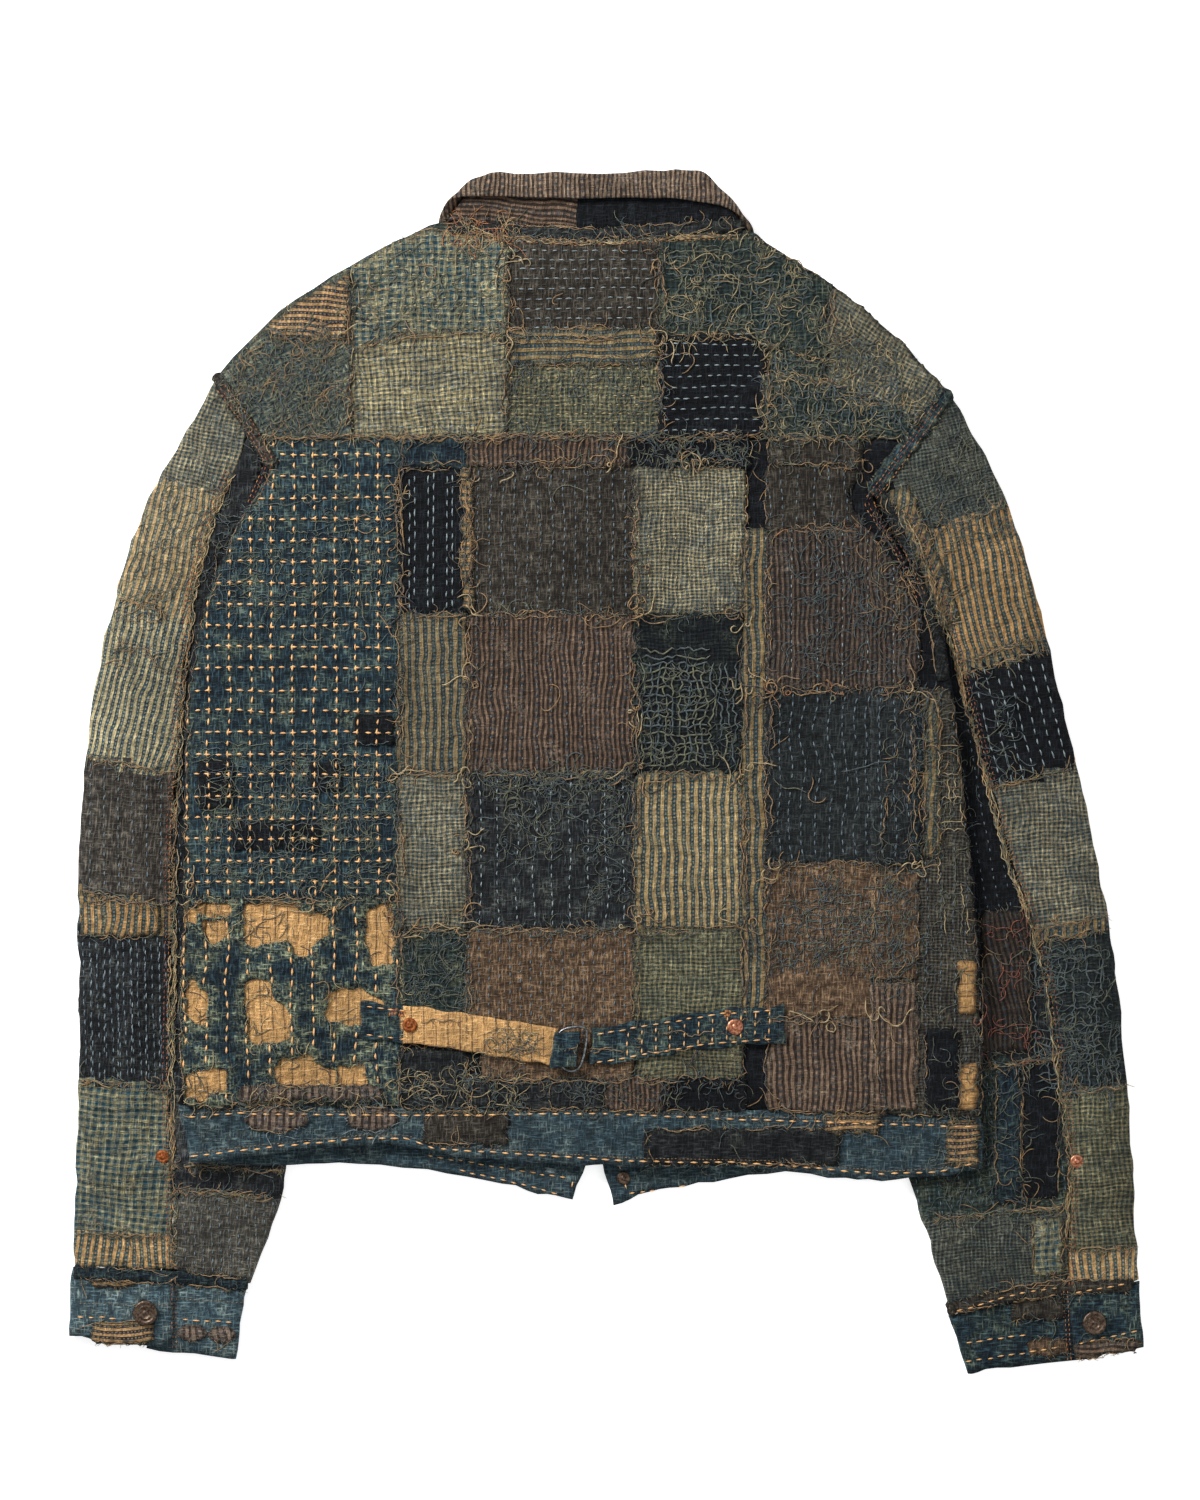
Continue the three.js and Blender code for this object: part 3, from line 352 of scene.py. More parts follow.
def ladder(g):
    """Stripes joined by rungs, every other one dashed."""
    bar = g.bars(g.across, g.period, g.share, 0.25)
    half = g.plus(g.across, g.period / 2)
    rungs = g.times(g.bars(half, g.period, 0.2), g.bars(g.up, 2.7, 0.5))
    dashes = g.times(g.bars(g.across, g.period * 2, 0.14), g.bars(g.up, 3.1, 0.5))
    colour = g.mix(g.times(rungs, 0.6), g.mix(bar, g.second, g.main), g.main)
    return g.mix(g.times(dashes, 0.8), colour, g.second), g.plus(g.grain, bar)


def lines(g):
    """Pale cloth with thin broken lines across it."""
    line = g.bars(g.plus(g.along(g.turn + 90), g.times(g.wander, 0.4)), g.period, g.share, 0.05)
    line = g.times(line, g.ramp(g.noise(9.0), 0.33, 0.45))
    colour = g.mix(g.times(line, 0.7), g.main, g.second)
    return g.mix(g.ramp(g.warp, 0.5, 0.75, 0.0, 0.35), colour, paint(0xF0CF9C)), g.grain


def check(g):
    """Bars and rungs as one small check, darker in places."""
    bar = g.bars(g.across, g.period * 1.25, g.share, 0.5)
    rung = g.bars(g.up, g.period, g.share, 0.5)
    both = g.times(g.plus(bar, rung), 0.5)
    colour = g.mix(both, g.main, g.second)
    colour = g.mix(g.times(g.ramp(g.noise(16.0, 3.0), 0.45, 0.62), 0.4), colour, g.second)
    return colour, g.minus(g.grain, both)


# Each weave, and how dark and how light its threads are.
WEAVES = {
    "plain": (plain, 0.5, 1.34), "stripes": (stripes, 0.66, 1.24), "ladder": (ladder, 0.68, 1.22),
    "lines": (lines, 0.8, 1.15), "check": (check, 0.56, 1.36),
}
# For each weave and slot, its cloths: main, second and worn colour, period, how worn it is, and the share of
# the second colour where that isn't a half.
CLOTH_GROUPS = {
    ("plain", "indigo_denim"): {
        "indigo": (0x2C424B, 0x17232B, 0x6B7560, 3.6, 0.5),
        "indigo_torn": (0x2C424B, 0x17232B, 0x8B8F70, 3.6, 0.85),
        "indigo_band": (0x3E5158, 0x2C3E46, 0x7D8981, 3.6, 0.3),
        "indigo_cuff": (0x4C6168, 0x374A52, 0x98A295, 3.6, 0.35),
        "indigo_dark": (0x21333D, 0x121C24, 0x4C5A52, 3.6, 0.35),
    },
    ("plain", "navy_cloth"): {
        "navy": (0x11151B, 0x07090D, 0x2B3234, 4.0, 0.2),
        "navy_grey": (0x26292C, 0x141719, 0x4F534C, 4.0, 0.3),
        "navy_faded": (0x303436, 0x191C20, 0x5C6058, 4.0, 0.3),
        "navy_worn": (0x45484A, 0x1E2328, 0x85846F, 4.0, 0.4),
        "grey_worn": (0x5C5A52, 0x46443F, 0x85826F, 4.0, 0.3),
    },
    ("plain", "brown_twill"): {
        "grey_brown": (0x433E37, 0x2A2621, 0x605C50, 3.0, 0.25),
        "grey_twill": (0x504B44, 0x302C28, 0x6A665A, 3.0, 0.25),
        "brown": (0x745D47, 0x4D3D30, 0x8D775D, 3.0, 0.25),
    },
    ("stripes", "brown_twill"): {
        "brown_stripe": (0x6B5747, 0x2F2620, 0x76685A, 3.3, 0.2),
        # brown_deep is a darker copy of brown_dim: partly the patch's own dark brown, partly painted shade of
        # the fold on the inner right sleeve where it lies.
        "brown_deep": (0x41372F, 0x1F1A17, 0x4D463D, 3.3, 0.2),
        "brown_dim": (0x5D4F43, 0x2B2420, 0x6A6056, 3.3, 0.2),
        "brown_rib": (0x766150, 0x352B24, 0x857867, 3.8, 0.2, 0.45),
        "collar_rib": (0x7F6C5A, 0x3A2F28, 0x8D8070, 3.0, 0.2, 0.45),
        "rib_oval": (0x77675A, 0x3A302B, 0x8B7D70, 4.6, 0.15, 0.4),
    },
    ("plain", "teal_cloth"): {
        "teal_grey": (0x2A2F30, 0x1C2021, 0x43484A, 4.0, 0.15),
    },
    ("check", "teal_cloth"): {
        "teal_mesh": (0x1C2326, 0x0D1115, 0x4C5649, 2.6, 0.35),
        "teal_worn": (0x2B3436, 0x13191C, 0x5C6557, 2.6, 0.4),
        "green_gauze": (0x36443F, 0x182326, 0x7B7C62, 3.0, 0.5),
        "shoulder_gauze": (0x5B6152, 0x29353A, 0x8B8A70, 3.4, 0.5),
    },
    ("check", "check_cloth"): {
        "khaki_check": (0xA39672, 0x2C404A, 0xA89D78, 2.4, 0.2),
        "light_check": (0x968A6A, 0x2A3F48, 0x928A70, 2.6, 0.25),
        "green_check": (0x837A59, 0x2A3A3A, 0x8D8A6C, 2.7, 0.35),
        "beige_grid": (0xA6986F, 0x30424B, 0xA89D74, 3.0, 0.25, 0.42),
        "waffle": (0x8A8668, 0x1F414E, 0xB3A173, 4.2, 0.3),
        "side_mottle": (0x59564A, 0x211F21, 0x706A58, 2.2, 0.45),
        "grey_mottle": (0x5F6255, 0x222C31, 0x77745F, 2.2, 0.45),
    },
    ("ladder", "tan_stripe"): {
        "tan_stripe": (0xAB8555, 0x2B464B, 0x8D8468, 5.2, 0.25),
        "fine_tan": (0x8C7651, 0x263D45, 0x72705A, 5.4, 0.3),
        "blue_dash": (0xA89A74, 0x2A4450, 0x8D8768, 4.6, 0.3),
        "fine_dim": (0x7B6A4C, 0x24383F, 0x6C6A57, 5.4, 0.3),
        "fine_pale": (0xA48C62, 0x2D444A, 0x7D7A5F, 5.4, 0.3),
        "tan_soft": (0xB3966A, 0x4A5A58, 0x9B9474, 4.6, 0.5),
        "tan_pale": (0xC09A68, 0x3A5356, 0x9B9474, 5.2, 0.25),
        "band_stripe": (0xB08B5F, 0x232E38, 0x7D7A5F, 4.2, 0.15),
    },
    ("lines", "peach_cloth"): {
        "peach": (0xC09560, 0x33262A, 0xA97F50, 8.0, 0.3, 0.12),
    },
}
CLOTHS = {
    name: (weave, slot, row) for (weave, slot), rows in CLOTH_GROUPS.items() for name, row in rows.items()
}
made_cloths = {}


def cloth(name, turn=0.0):
    """The material of a cloth whose stripes run at this many degrees from up."""
    key = f"{name}_{int(round(turn)) % 360}"
    if key in made_cloths:
        return made_cloths[key]
    kind, _, row = CLOTHS[name]
    weave, darkest, lightest = WEAVES[kind]
    g = Weave(key, turn, *row)
    colour, relief = weave(g)
    colour = g.mix(g.times(g.times(g.faded, g.grain), g.wear), colour, g.worn)
    rubbed = g.times(g.value("rubbed"), g.ramp(g.noise(1.8, 3.0), 0.46, 0.6))
    colour = g.mix(g.times(rubbed, 0.8), colour, g.worn)
    shade = g.times(g.ramp(g.grain, 0, 1, darkest, lightest), g.ramp(g.noise(5.0, 3.0), 0.3, 0.7, 0.8, 1.25))
    shade = g.times(shade, g.ramp(g.noise(55.0, 2.0), 0.3, 0.7, 0.85, 1.17))
    # Painted shade: the cloth darkens to 0.42 of itself towards a patch's outer rim, in place of the shadow
    # in the seams between patches.
    shade = g.times(shade, g.ramp(g.value("seam"), 0, 1, 1.0, 0.42))
    grey = g.node("ShaderNodeCombineColor", {0: shade, 1: shade, 2: shade}).outputs[0]
    colour = g.mix(1.0, colour, grey, "MULTIPLY")
    quilted = g.math("ABSOLUTE", g.math("SINE", g.times(g.up, math.pi / 7.2)))
    bump = g.plus(relief, g.times(quilted, 0.9))
    bump = g.plus(bump, g.times(g.noise(4.5, 2.0), 1.8))
    made_cloths[key] = g.finish(colour, bump, 0.9, 0.95, 0.03)
    return made_cloths[key]


# Thread colours, light and dark, and the slot.
THREADS = {
    "tan": (0xA37F50, 0x6D5538, "tan_stripe"),
    "straw": (0xB9A47A, 0x8C7850, "tan_stripe"),
    "olive": (0x6A6B50, 0x393E33, "teal_cloth"),
    "grey_teal": (0x48595A, 0x253136, "teal_cloth"),
    "dark": (0x1F1D1C, 0x3A352F, "navy_cloth"),
    "peach": (0xF0B978, 0xD09A60, "peach_cloth"),
    "pale": (0x8F9C9E, 0x5D6B71, "indigo_denim"),
    "blue": (0x62747D, 0x3B4A53, "indigo_denim"),
    "orange": (0xC07A3C, 0x8C4E2A, "peach_cloth"),
    "red": (0x9A4A2C, 0x6A3322, "peach_cloth"),
}


def thread_material(name):
    light, dark, _ = THREADS[name]
    g = Shading("thread_" + name)
    colour = g.mix(g.ramp(g.noise(3.0, 2.0), 0.35, 0.65), paint(light), paint(dark))
    return g.finish(colour, g.noise(0.5, 1.0), 0.15, 0.85, 0.2)


def metal(name, light, dark, roughness):
    g = Shading(name)
    worn = g.ramp(g.noise(1.6, 3.0), 0.35, 0.65)
    g.shader.inputs["Metallic"].default_value = 0.85
    return g.finish(g.mix(worn, paint(light), paint(dark)), g.noise(0.9, 3.0), 0.12, roughness, 0.0)


# ---------- What lies on top at each place ----------
class Skin:
    """The surfaces laid so far, looked down on."""

    def __init__(self):
        self.layers = []

    def lay(self, name, points, triangles, finish=None):
        tree = BVHTree.FromPolygons(points.tolist(), triangles.tolist())
        self.layers.append((name, points[:, :2].min(0), points[:, :2].max(0), tree, finish))

    def look(self, places):
        """The height of the top at each place, the name of what is there, and its finish's number."""
        places = np.asarray(places, float).reshape(-1, 2)
        top = np.full(len(places), -1.0)
        owner = np.full(len(places), "", dtype=object)
        finishes = np.zeros(len(places), int)
        for name, low, high, tree, finish in self.layers:
            for i in np.flatnonzero(np.all((places >= low) & (places <= high), axis=1)):
                where, _, face, _ = tree.ray_cast(Vector((*places[i], ABOVE)), DOWN)
                if where is not None and where.z > top[i]:
                    top[i] = where.z
                    owner[i] = name
                    finishes[i] = 0 if finish is None else finish[face]
        return top, owner, finishes

    def tops(self, paths):
        """The height of the top at each point of some paths."""
        return self.look(paths)[0].reshape(paths.shape[:-1])

    def under(self, places, start):
        """Where the name of what is on top begins this way."""
        return np.array([str(name).startswith(start) for name in self.look(places)[1]], bool)

    def heights(self, places):
        """Heights that bridge the narrow gaps at seams."""
        return np.max([self.look(places + shift)[0] for shift in ((0, 0), (0.9, 0.9), (-0.9, -0.9))], axis=0)


skin = Skin()


# ---------- Creases, as soft ridges from one point to another: x, y, x, y, width, height ----------
CREASES = [
    (-232, 120, -150, 60, 9, 1.8), (-236, 96, -175, 10, 8, 1.4), (-262, 60, -238, -60, 8, 1.4),
    (196, 108, 120, 40, 9, 1.8), (206, 84, 150, -10, 8, 1.4), (222, 40, 212, -80, 8, 1.4),
    (-205, 300, -120, 240, 12, 1.4), (160, 300, 90, 240, 12, 1.4), (-60, 340, -75, 250, 11, 1.2),
    (60, 340, 70, 250, 11, 1.2), (-90, -60, -60, -200, 12, 1.5), (70, -40, 40, -200, 12, 1.4),
    (-150, -150, -60, -190, 8, 1.4), (130, -150, 60, -190, 8, 1.4), (-10, 180, 10, 20, 14, 1.2),
    (-200, -20, -190, -150, 14, 1.3), (170, 40, 185, -130, 12, 1.3),
    (-330, 90, -262, 60, 8, 2.6), (-340, 10, -262, -22, 8, 2.4), (-352, -40, -290, -70, 7, 2.1),
    (-350, -150, -280, -128, 8, 2.2), (-352, -226, -262, -204, 7, 2.6), (-350, -272, -232, -256, 6, 2.6),
    (-348, -306, -236, -300, 6, 2.3), (-322, 150, -290, 60, 8, 2.0), (-316, -100, -318, -230, 8, 1.8),
    (298, 60, 232, 30, 8, 2.6), (320, -22, 244, -60, 8, 2.4), (330, -80, 268, -96, 7, 2.1),
    (342, -150, 232, -136, 8, 2.2), (348, -226, 226, -216, 7, 2.6), (352, -272, 214, -272, 6, 2.6),
    (352, -312, 228, -318, 6, 2.3), (286, 120, 268, 30, 8, 2.0), (322, -110, 330, -240, 8, 1.8),
    (-180, -236, -172, -258, 7, 1.6), (-60, -232, -64, -262, 7, 1.6), (60, -236, 64, -264, 7, 1.4),
    (150, -238, 152, -268, 7, 1.6), (-300, 190, -262, 150, 8, 1.8), (262, 180, 232, 150, 8, 1.8),
]
BROAD = waves("broad", 62.0)
MIDDLE = waves("middle", 24.0)
PUCKER = waves("pucker", 10.0)
SWAY = waves("sway x", 22.0), waves("sway y", 24.0)
BROAD_HEIGHT = 0.55
MIDDLE_HEIGHT = 0.45
PUCKER_HEIGHT = 0.3
SWAY_REACH = 1.5  # how far edges and seams wander


def ripple(x, y):
    """How far the laid cloth rises at a place."""
    rise = BROAD_HEIGHT * (1 + BROAD(x, y)) + MIDDLE_HEIGHT * (1 + MIDDLE(x, y))
    rise = rise + PUCKER_HEIGHT * (1 + PUCKER(x, y))
    for x0, y0, x1, y1, width, height in CREASES:
        length = math.hypot(x1 - x0, y1 - y0)
        ux, uy = (x1 - x0) / length, (y1 - y0) / length
        along = (x - x0) * ux + (y - y0) * uy
        aside = -(x - x0) * uy + (y - y0) * ux
        ends = smooth(along, -width, width) * smooth(length - along, -width, width)
        rise = rise + height * ends * np.exp(-((aside / width) ** 2))
    return rise


# ---------- The jacket's own panels ----------
RIM_ANGLE = math.radians(75)  # sharper edges are a sheet's rim
BAND_STEP = 0.5  # every other band of a panel stands this much higher
UPPER_WALL = 4.0  # the upper wall's bands are above this height


def merged(node):
    """A CAD node's mesh in millimetres, its facets joined at their corners."""
    bm = bmesh.new()
    bm.from_mesh(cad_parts[node].data)
    bmesh.ops.scale(bm, vec=(1 / MM,) * 3, verts=bm.verts)
    bmesh.ops.remove_doubles(bm, verts=bm.verts, dist=0.01)
    return bm


def subdivided(node, levels):
    """The panel's facets joined into quads and subdivided, with its rims kept sharp."""
    bm = merged(node)
    bmesh.ops.join_triangles(
        bm, faces=bm.faces, angle_face_threshold=math.radians(35), angle_shape_threshold=math.radians(150)
    )
    crease = bm.edges.layers.float.new("crease_edge")
    for edge in bm.edges:
        if len(edge.link_faces) == 2 and edge.calc_face_angle(0) > RIM_ANGLE:
            edge[crease] = 1.0
    rough = bpy.data.meshes.new("rough")
    bm.to_mesh(rough)
    bm.free()
    carrier = bpy.data.objects.new("carrier", rough)
    bpy.context.scene.collection.objects.link(carrier)
    modifier = carrier.modifiers.new("fine", "SUBSURF")
    modifier.levels = levels
    modifier.render_levels = levels
    graph = bpy.context.evaluated_depsgraph_get()
    fine = bpy.data.meshes.new_from_object(carrier.evaluated_get(graph))
    bpy.data.objects.remove(carrier)
    bpy.data.meshes.remove(rough)
    return fine


def panel(node, levels, finishes, zone=None, lift=1.0):
    """Replaces a CAD panel by a fine one. zone gives each place's number among the finishes. lift is how much
    of the ripple the points take: a share, or a function of the place."""
    mesh = subdivided(node, levels)
    points = read(mesh.vertices, "co", 3).astype(float)
    x, y, z = points.T.copy()
    points[:, 0] += SWAY_REACH * SWAY[0](x, y)
    points[:, 1] += SWAY_REACH * SWAY[1](x, y)
    points[:, 2] += (lift(x, y, z) if callable(lift) else lift) * ripple(x, y)
    if zone is not None:
        upper = (read(mesh.vertices, "normal", 3)[:, 2] > 0.2) & (z > UPPER_WALL)
        points[:, 2] += BAND_STEP * (upper & (zone(x, y, z) % 2 == 1))
    mesh.vertices.foreach_set("co", (points * MM).astype(np.float32).ravel())
    mesh.update()
    mesh.shade_smooth()
    mesh.materials.clear()
    set_values(mesh, "rubbed", 0.6 * smooth(MIDDLE(x * 1.3, y), 0.1, 0.9))
    piece = new_piece("cloth_" + node, mesh, [cloth(*f) for f in finishes])
    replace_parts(piece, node)
    mesh.calc_loop_triangles()
    triangles = read(mesh.loop_triangles, "vertices", 3, np.int32)
    numbers = None
    if zone is not None:
        chosen = zone(*(read(mesh.polygons, "center", 3) / MM).T).astype(np.int32)
        mesh.polygons.foreach_set("material_index", chosen)
        numbers = chosen[read(mesh.loop_triangles, "polygon_index", 1, np.int32)[:, 0]]
    skin.lay(node, points, triangles, numbers)
    return piece


# How bands lie: degrees of a sleeve's lean at its top and at its cuff, and the middle of its width.
LEAN = {"left": (21, 2, -318.0), "right": (20, 5, 296.0), "body": (0, 0, 1.0)}


def rise_of(part, x, y):
    """How far a sleeve's lean lifts a band at x, for a band that crosses the middle at y."""
    top, cuff, middle = LEAN[part]
    lean = np.radians(cuff + (top - cuff) * smooth(y, -340, 260))
    return math.copysign(1, middle) * (x - middle) * np.tan(lean)


def bands(part, rows, uneven):
    """Zones down a panel, one for each cloth, which ends at its row's height, more or less."""
    wobble = waves(f"bands {LEAN[part][2]}", 14.0)
    ends = -np.array([end for _, end in rows], float)

    def zone(x, y, z):
        return np.searchsorted(ends, -(y - rise_of(part, x, y) + uneven * wobble(x, y)))

    return zone


def split_at(edge):
    """Two zones, left and right of this x."""
    return lambda x, y, z: (x > edge).astype(int)


# Each sleeve panel: its flat size, its reach across, and its bands from the shoulder down, each with its end.
SLEEVES = {
    "sleeve_left_outer": ((142, 615), (-362, -292), [
        ("light_check", 205), ("tan_soft", 114), ("blue_dash", 3), ("grey_twill", -86),
        ("fine_tan", -106), ("navy_grey", -210), ("waffle", -311), ("tan_pale", -400),
    ]),
    "sleeve_left_inner": ((120, 585), (-294, -214), [
        ("navy_grey", -210), ("navy_worn", -263), ("navy_grey", -281), ("grey_worn", -400),
    ]),
    "sleeve_right_outer": ((142, 625), (228, 358), [
        ("grey_mottle", 188), ("tan_stripe", 92), ("fine_tan", 82), ("navy", -2), ("light_check", -104),
        ("fine_tan", -113), ("teal_worn", -217), ("green_check", -324), ("tan_pale", -400),
    ]),
    "sleeve_right_inner": ((150, 580), (184, 310), [
        ("navy", -90), ("navy_grey", -193), ("green_gauze", -294), ("grey_mottle", -400),
    ]),
}
FRONT_BANDS = [("green_check", 180), ("indigo_dark", 40), ("brown_stripe", -90), ("navy_grey", -400)]
TAB_LIFT = 0.4  # how much of the ripple the belt's tabs take


def sleeve_lift(x, y, z):
    """The upper wall takes the ripple, and the lower wall stays on the floor."""
    return smooth(z, 3.0, 5.4)


def band_lift(x, y, z):
    """The waistband's back half takes the ripple."""
    return smooth(z, 5.0, 8.0)


def build_sleeves():
    for node, (flat, _, rows) in SLEEVES.items():
        side = node.split("_")[1]
        turn = math.copysign(LEAN[side][0] * 0.5, LEAN[side][2])
        finishes = [(name, turn * (1.3 if end > 0 else 0.4)) for name, end in rows]
        levels = 3 if "outer" in node else 2
        panel(node, levels, finishes, bands(side, rows, 1.6), sleeve_lift)


def build_body():
    fronts = ["front_left", "front_right"]
    for node, width in zip(fronts, (300, 290)):
        finishes = [(name, 0) for name, _ in FRONT_BANDS]
        panel(node, 2, finishes, bands("body", FRONT_BANDS, 1.5), 0.0)
    panel("back_panel", 1, [("navy", 0)])
    panel("yoke", 2, [("green_gauze", 0)])
    panel("waistband", 2, [("indigo_band", 90)], None, band_lift)


def build_ends():
    """Cuffs and collar."""
    for side, finish in (("left", "indigo_cuff"), ("right", "indigo")):
        panel("cuff_" + side, 2, [(finish, 90)], None, sleeve_lift)
    stand = [("brown_stripe", 84), ("navy", 90)]
    panel("collar_stand", 2, stand, split_at(-12), 0.0)
    panel("collar_fall", 2, [("collar_rib", 0)], None, 0.0)


def build_cinch():
    """The two tabs of the belt and the keeper."""
    left = [("indigo", 90), ("peach", 90)]
    panel("cinch_tab_left", 3, left, split_at(-137), TAB_LIFT)
    panel("cinch_tab_right", 3, [("indigo", 90)], None, TAB_LIFT)
    panel("cinch_keeper", 3, [("indigo", 90)], None, TAB_LIFT)


# ---------- Patches ----------
def border_of(node):
    """The rim of a node's upper side, anticlockwise."""
    bm = merged(node)
    bm.normal_update()
    top = {face.index for face in bm.faces if face.normal.z > 0.5}
    after = {}
    for face in bm.faces:
        if face.index not in top:
            continue
        for corner in face.loops:
            if all(other is face or other.index not in top for other in corner.edge.link_faces):
                after[corner.vert.index] = corner.link_loop_next.vert.index
    at = {v.index: (v.co.x, v.co.y) for v in bm.verts}
    bm.free()
    start = next(iter(after))
    loop = [start]
    while after[loop[-1]] != start:
        loop.append(after[loop[-1]])
    return np.array([at[k] for k in loop])


def ragged(name, loop, grow, rough):
    """The loop with its corners eased and an uneven edge, grown outwards."""
    step = 2.6
    fine = spaced(rounded(spaced(loop, 5.0)), step)
    run = np.arange(len(fine)) * step
    rng = draws("ragged " + name)
    offset = np.full(len(fine), float(grow))
    length = run[-1] + step
    for turns in rng.integers(4, max(6, int(length / 9)), 8):
        size = rough * rng.uniform(0.2, 0.5)
        phase = rng.uniform(*ANY_ANGLE)
        offset += size * np.sin(TURN * turns * run / length + phase)
    offset += rng.normal(0, 0.25 * rough, len(fine))
    return fine + outward(fine) * offset[:, None]


def supported(edge):
    """The outline with any part that would hang over the floor drawn in."""
    for _ in range(4):
        off = skin.heights(edge) < LOWEST_TOP
        if not off.any():
            break
        edge[off] -= outward(edge)[off] * 1.2
    return edge


def neighbour_sums(pairs, base):
    """For each point, the sum over its neighbours and their number."""
    total, count = np.zeros(len(base)), np.zeros(len(base))
    np.add.at(total, pairs[:, 0], base[pairs[:, 1]])
    np.add.at(count, pairs[:, 0], 1)
    return total, count


def bridged(faces, base):
    """Heights evened out over the mesh, so that the cloth spans gaps and narrow dips."""
    pairs = np.concatenate([faces[:, [0, 1]], faces[:, [1, 2]], faces[:, [2, 0]]])
    pairs = np.concatenate([pairs, pairs[:, ::-1]])
    held = base > 0.3
    for _ in range(60):
        if held.all():
            break
        total, count = neighbour_sums(pairs[held[pairs[:, 1]]], base)
        new = ~held & (count > 0)
        base[new] = total[new] / count[new]
        held = held | new
    for _ in range(2):
        total, count = neighbour_sums(pairs, base)
        base = np.maximum(base, total / np.maximum(count, 1))
    return base


def rim_distance(points, loops):
    """How far each point is from the nearest point of some loops."""
    rim = np.concatenate(loops)
    return np.array([math.sqrt(np.min(np.sum((rim - p) ** 2, 1))) for p in points])


def fill(loop, holes, cell, rng):
    """Points and triangles that fill a loop round its holes."""
    loops = [loop, *holes]
    edges = []
    for ring in loops:
        start, count = len(edges), len(ring)
        edges += [(start + k, start + (k + 1) % count) for k in range(count)]
    low, high = loop.min(0), loop.max(0)
    rows = np.arange(low[1], high[1], cell * math.sqrt(3) / 2)
    columns = np.arange(low[0], high[0], cell)
    gx, gy = np.meshgrid(columns, rows)
    gx = gx + (np.arange(len(rows)) % 2)[:, None] * cell / 2
    grid = np.stack([gx.ravel(), gy.ravel()], 1) + rng.uniform(-0.18, 0.18, (gx.size, 2)) * cell
    grid = grid[inside(grid, loop, holes)]
    grid = grid[rim_distance(grid, loops) > 0.55 * cell]
    flat = [Vector(p) for p in np.concatenate([*loops, grid])]
    points, _, faces, *_ = geometry.delaunay_2d_cdt(flat, edges, [], 0, 1e-5)
    points = np.array([tuple(p) for p in points])
    faces = np.array([f for f in faces if len(f) == 3])
    faces = faces[inside(points[faces].mean(1), loop, holes)]
    a, b, c = (points[faces[:, k]] for k in range(3))
    turned_over = (b[:, 0] - a[:, 0]) * (c[:, 1] - a[:, 1]) - (b[:, 1] - a[:, 1]) * (c[:, 0] - a[:, 0]) < 0
    faces[turned_over] = faces[turned_over][:, ::-1]
    used = np.unique(faces)
    renumber = np.full(len(points), -1)
    renumber[used] = np.arange(len(used))
    return points[used], renumber[faces]


def walls_of(faces, count):
    """The faces that join the rim of a sheet's top to the rim of its underside, count points on."""
    sides = {}
    for face in faces:
        for k in range(3):
            a, b = face[k], face[(k + 1) % 3]
            if (b, a) in sides:
                del sides[(b, a)]
            else:
                sides[(a, b)] = True
    return np.array([(b, a, a + count, b + count) for a, b in sides])


def puckers(name, flat, crumple, quilt):
    """How far a patch stands off what it lies on. quilt is degrees, pitch and height."""
    x, y = flat.T
    rise = crumple * 0.4 * (1 + waves(name, 11.0)(x, y))
    rise = rise + crumple * 0.4 * (1 + waves(name + " fine", 6.0)(x, y))
    if quilt:
        degrees, pitch, height = quilt
        a = math.radians(degrees)
        across = -x * math.sin(a) + y * math.cos(a)
        rise += height * np.abs(np.sin(math.pi * (across + 1.2 * waves(name, 30.0)(x, y)) / pitch))
    return rise


def wear_patch(name, mesh, flat, edge, holes):
    """Marks where a patch is rubbed pale, and where its rim carries painted shade for the shadow in the seam
    round it.
    A wide_ piece goes on from its neighbour, so that it has no painted dark rim."""
    worn = 0.9 * (1 - smooth(rim_distance(flat, [edge, *holes]), 0.5, 5))
    worn = worn + 0.8 * smooth(waves(name + " worn", 26.0)(*flat.T), 0.3, 0.9)
    if holes:
        worn = np.maximum(worn, 1.15 * (1 - smooth(rim_distance(flat, holes), 1, 8)))
    set_values(mesh, "rubbed", np.tile(np.clip(worn, 0, 1), 2))
    if not name.startswith("wide_"):
        # painted shade: the seam value darkens the cloth near the patch's outer rim, in place of the shadow
        # in the seam
        set_values(mesh, "seam", np.tile(1 - smooth(rim_distance(flat, [edge]), 0.2, 3.4), 2))


outlines = {}


def patch(name, loop, finish, turn=0.0, holes=(), grow=2.2, rough=1.0, quilt=None, crumple=0.8,
          thickness=PATCH_THICKNESS, replaced=None, cell=CELL, size=None, trim=True):
    """A closed thin sheet of cloth with an uneven edge, laid on what is there."""
    edge = ragged(name, loop, grow, rough)
    plain_edge = ragged(name, loop, 0, 0)
    fell = skin.heights(plain_edge) - skin.heights(edge) > 1.5
    edge[fell] = plain_edge[fell]
    if trim:
        edge = supported(edge)
    holes = [ragged(f"{name} hole {k}", np.array(h, float), 0, 1.0) for k, h in enumerate(holes)]
    flat, faces = fill(edge, holes, cell, draws(name))
    from_rim = rim_distance(flat, [edge, *holes])
    stand_off = puckers(name, flat, crumple, quilt) * (0.25 + 0.75 * smooth(from_rim, 0, 7))
    low = bridged(faces, skin.heights(flat)) + PATCH_GAP + stand_off
    top = low + thickness * (0.55 + 0.45 * smooth(from_rim, 0, 2.5))
    n = len(flat)
    points = np.concatenate([np.column_stack([flat, top]), np.column_stack([flat, low])])
    mesh = new_mesh(name, points, np.concatenate([faces, faces[:, ::-1] + n]), walls_of(faces, n))
    wear_patch(name, mesh, flat, edge, holes)
    piece = new_piece(name, mesh, [cloth(finish, turn)])
    if replaced:
        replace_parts(piece, replaced)
    size = np.array(size or edge.max(0) - edge.min(0))
    skin.lay(name, np.column_stack([flat, top]), faces)
    outlines[name] = edge
    outlines.update({f"{name} hole {k}": hole for k, hole in enumerate(holes)})


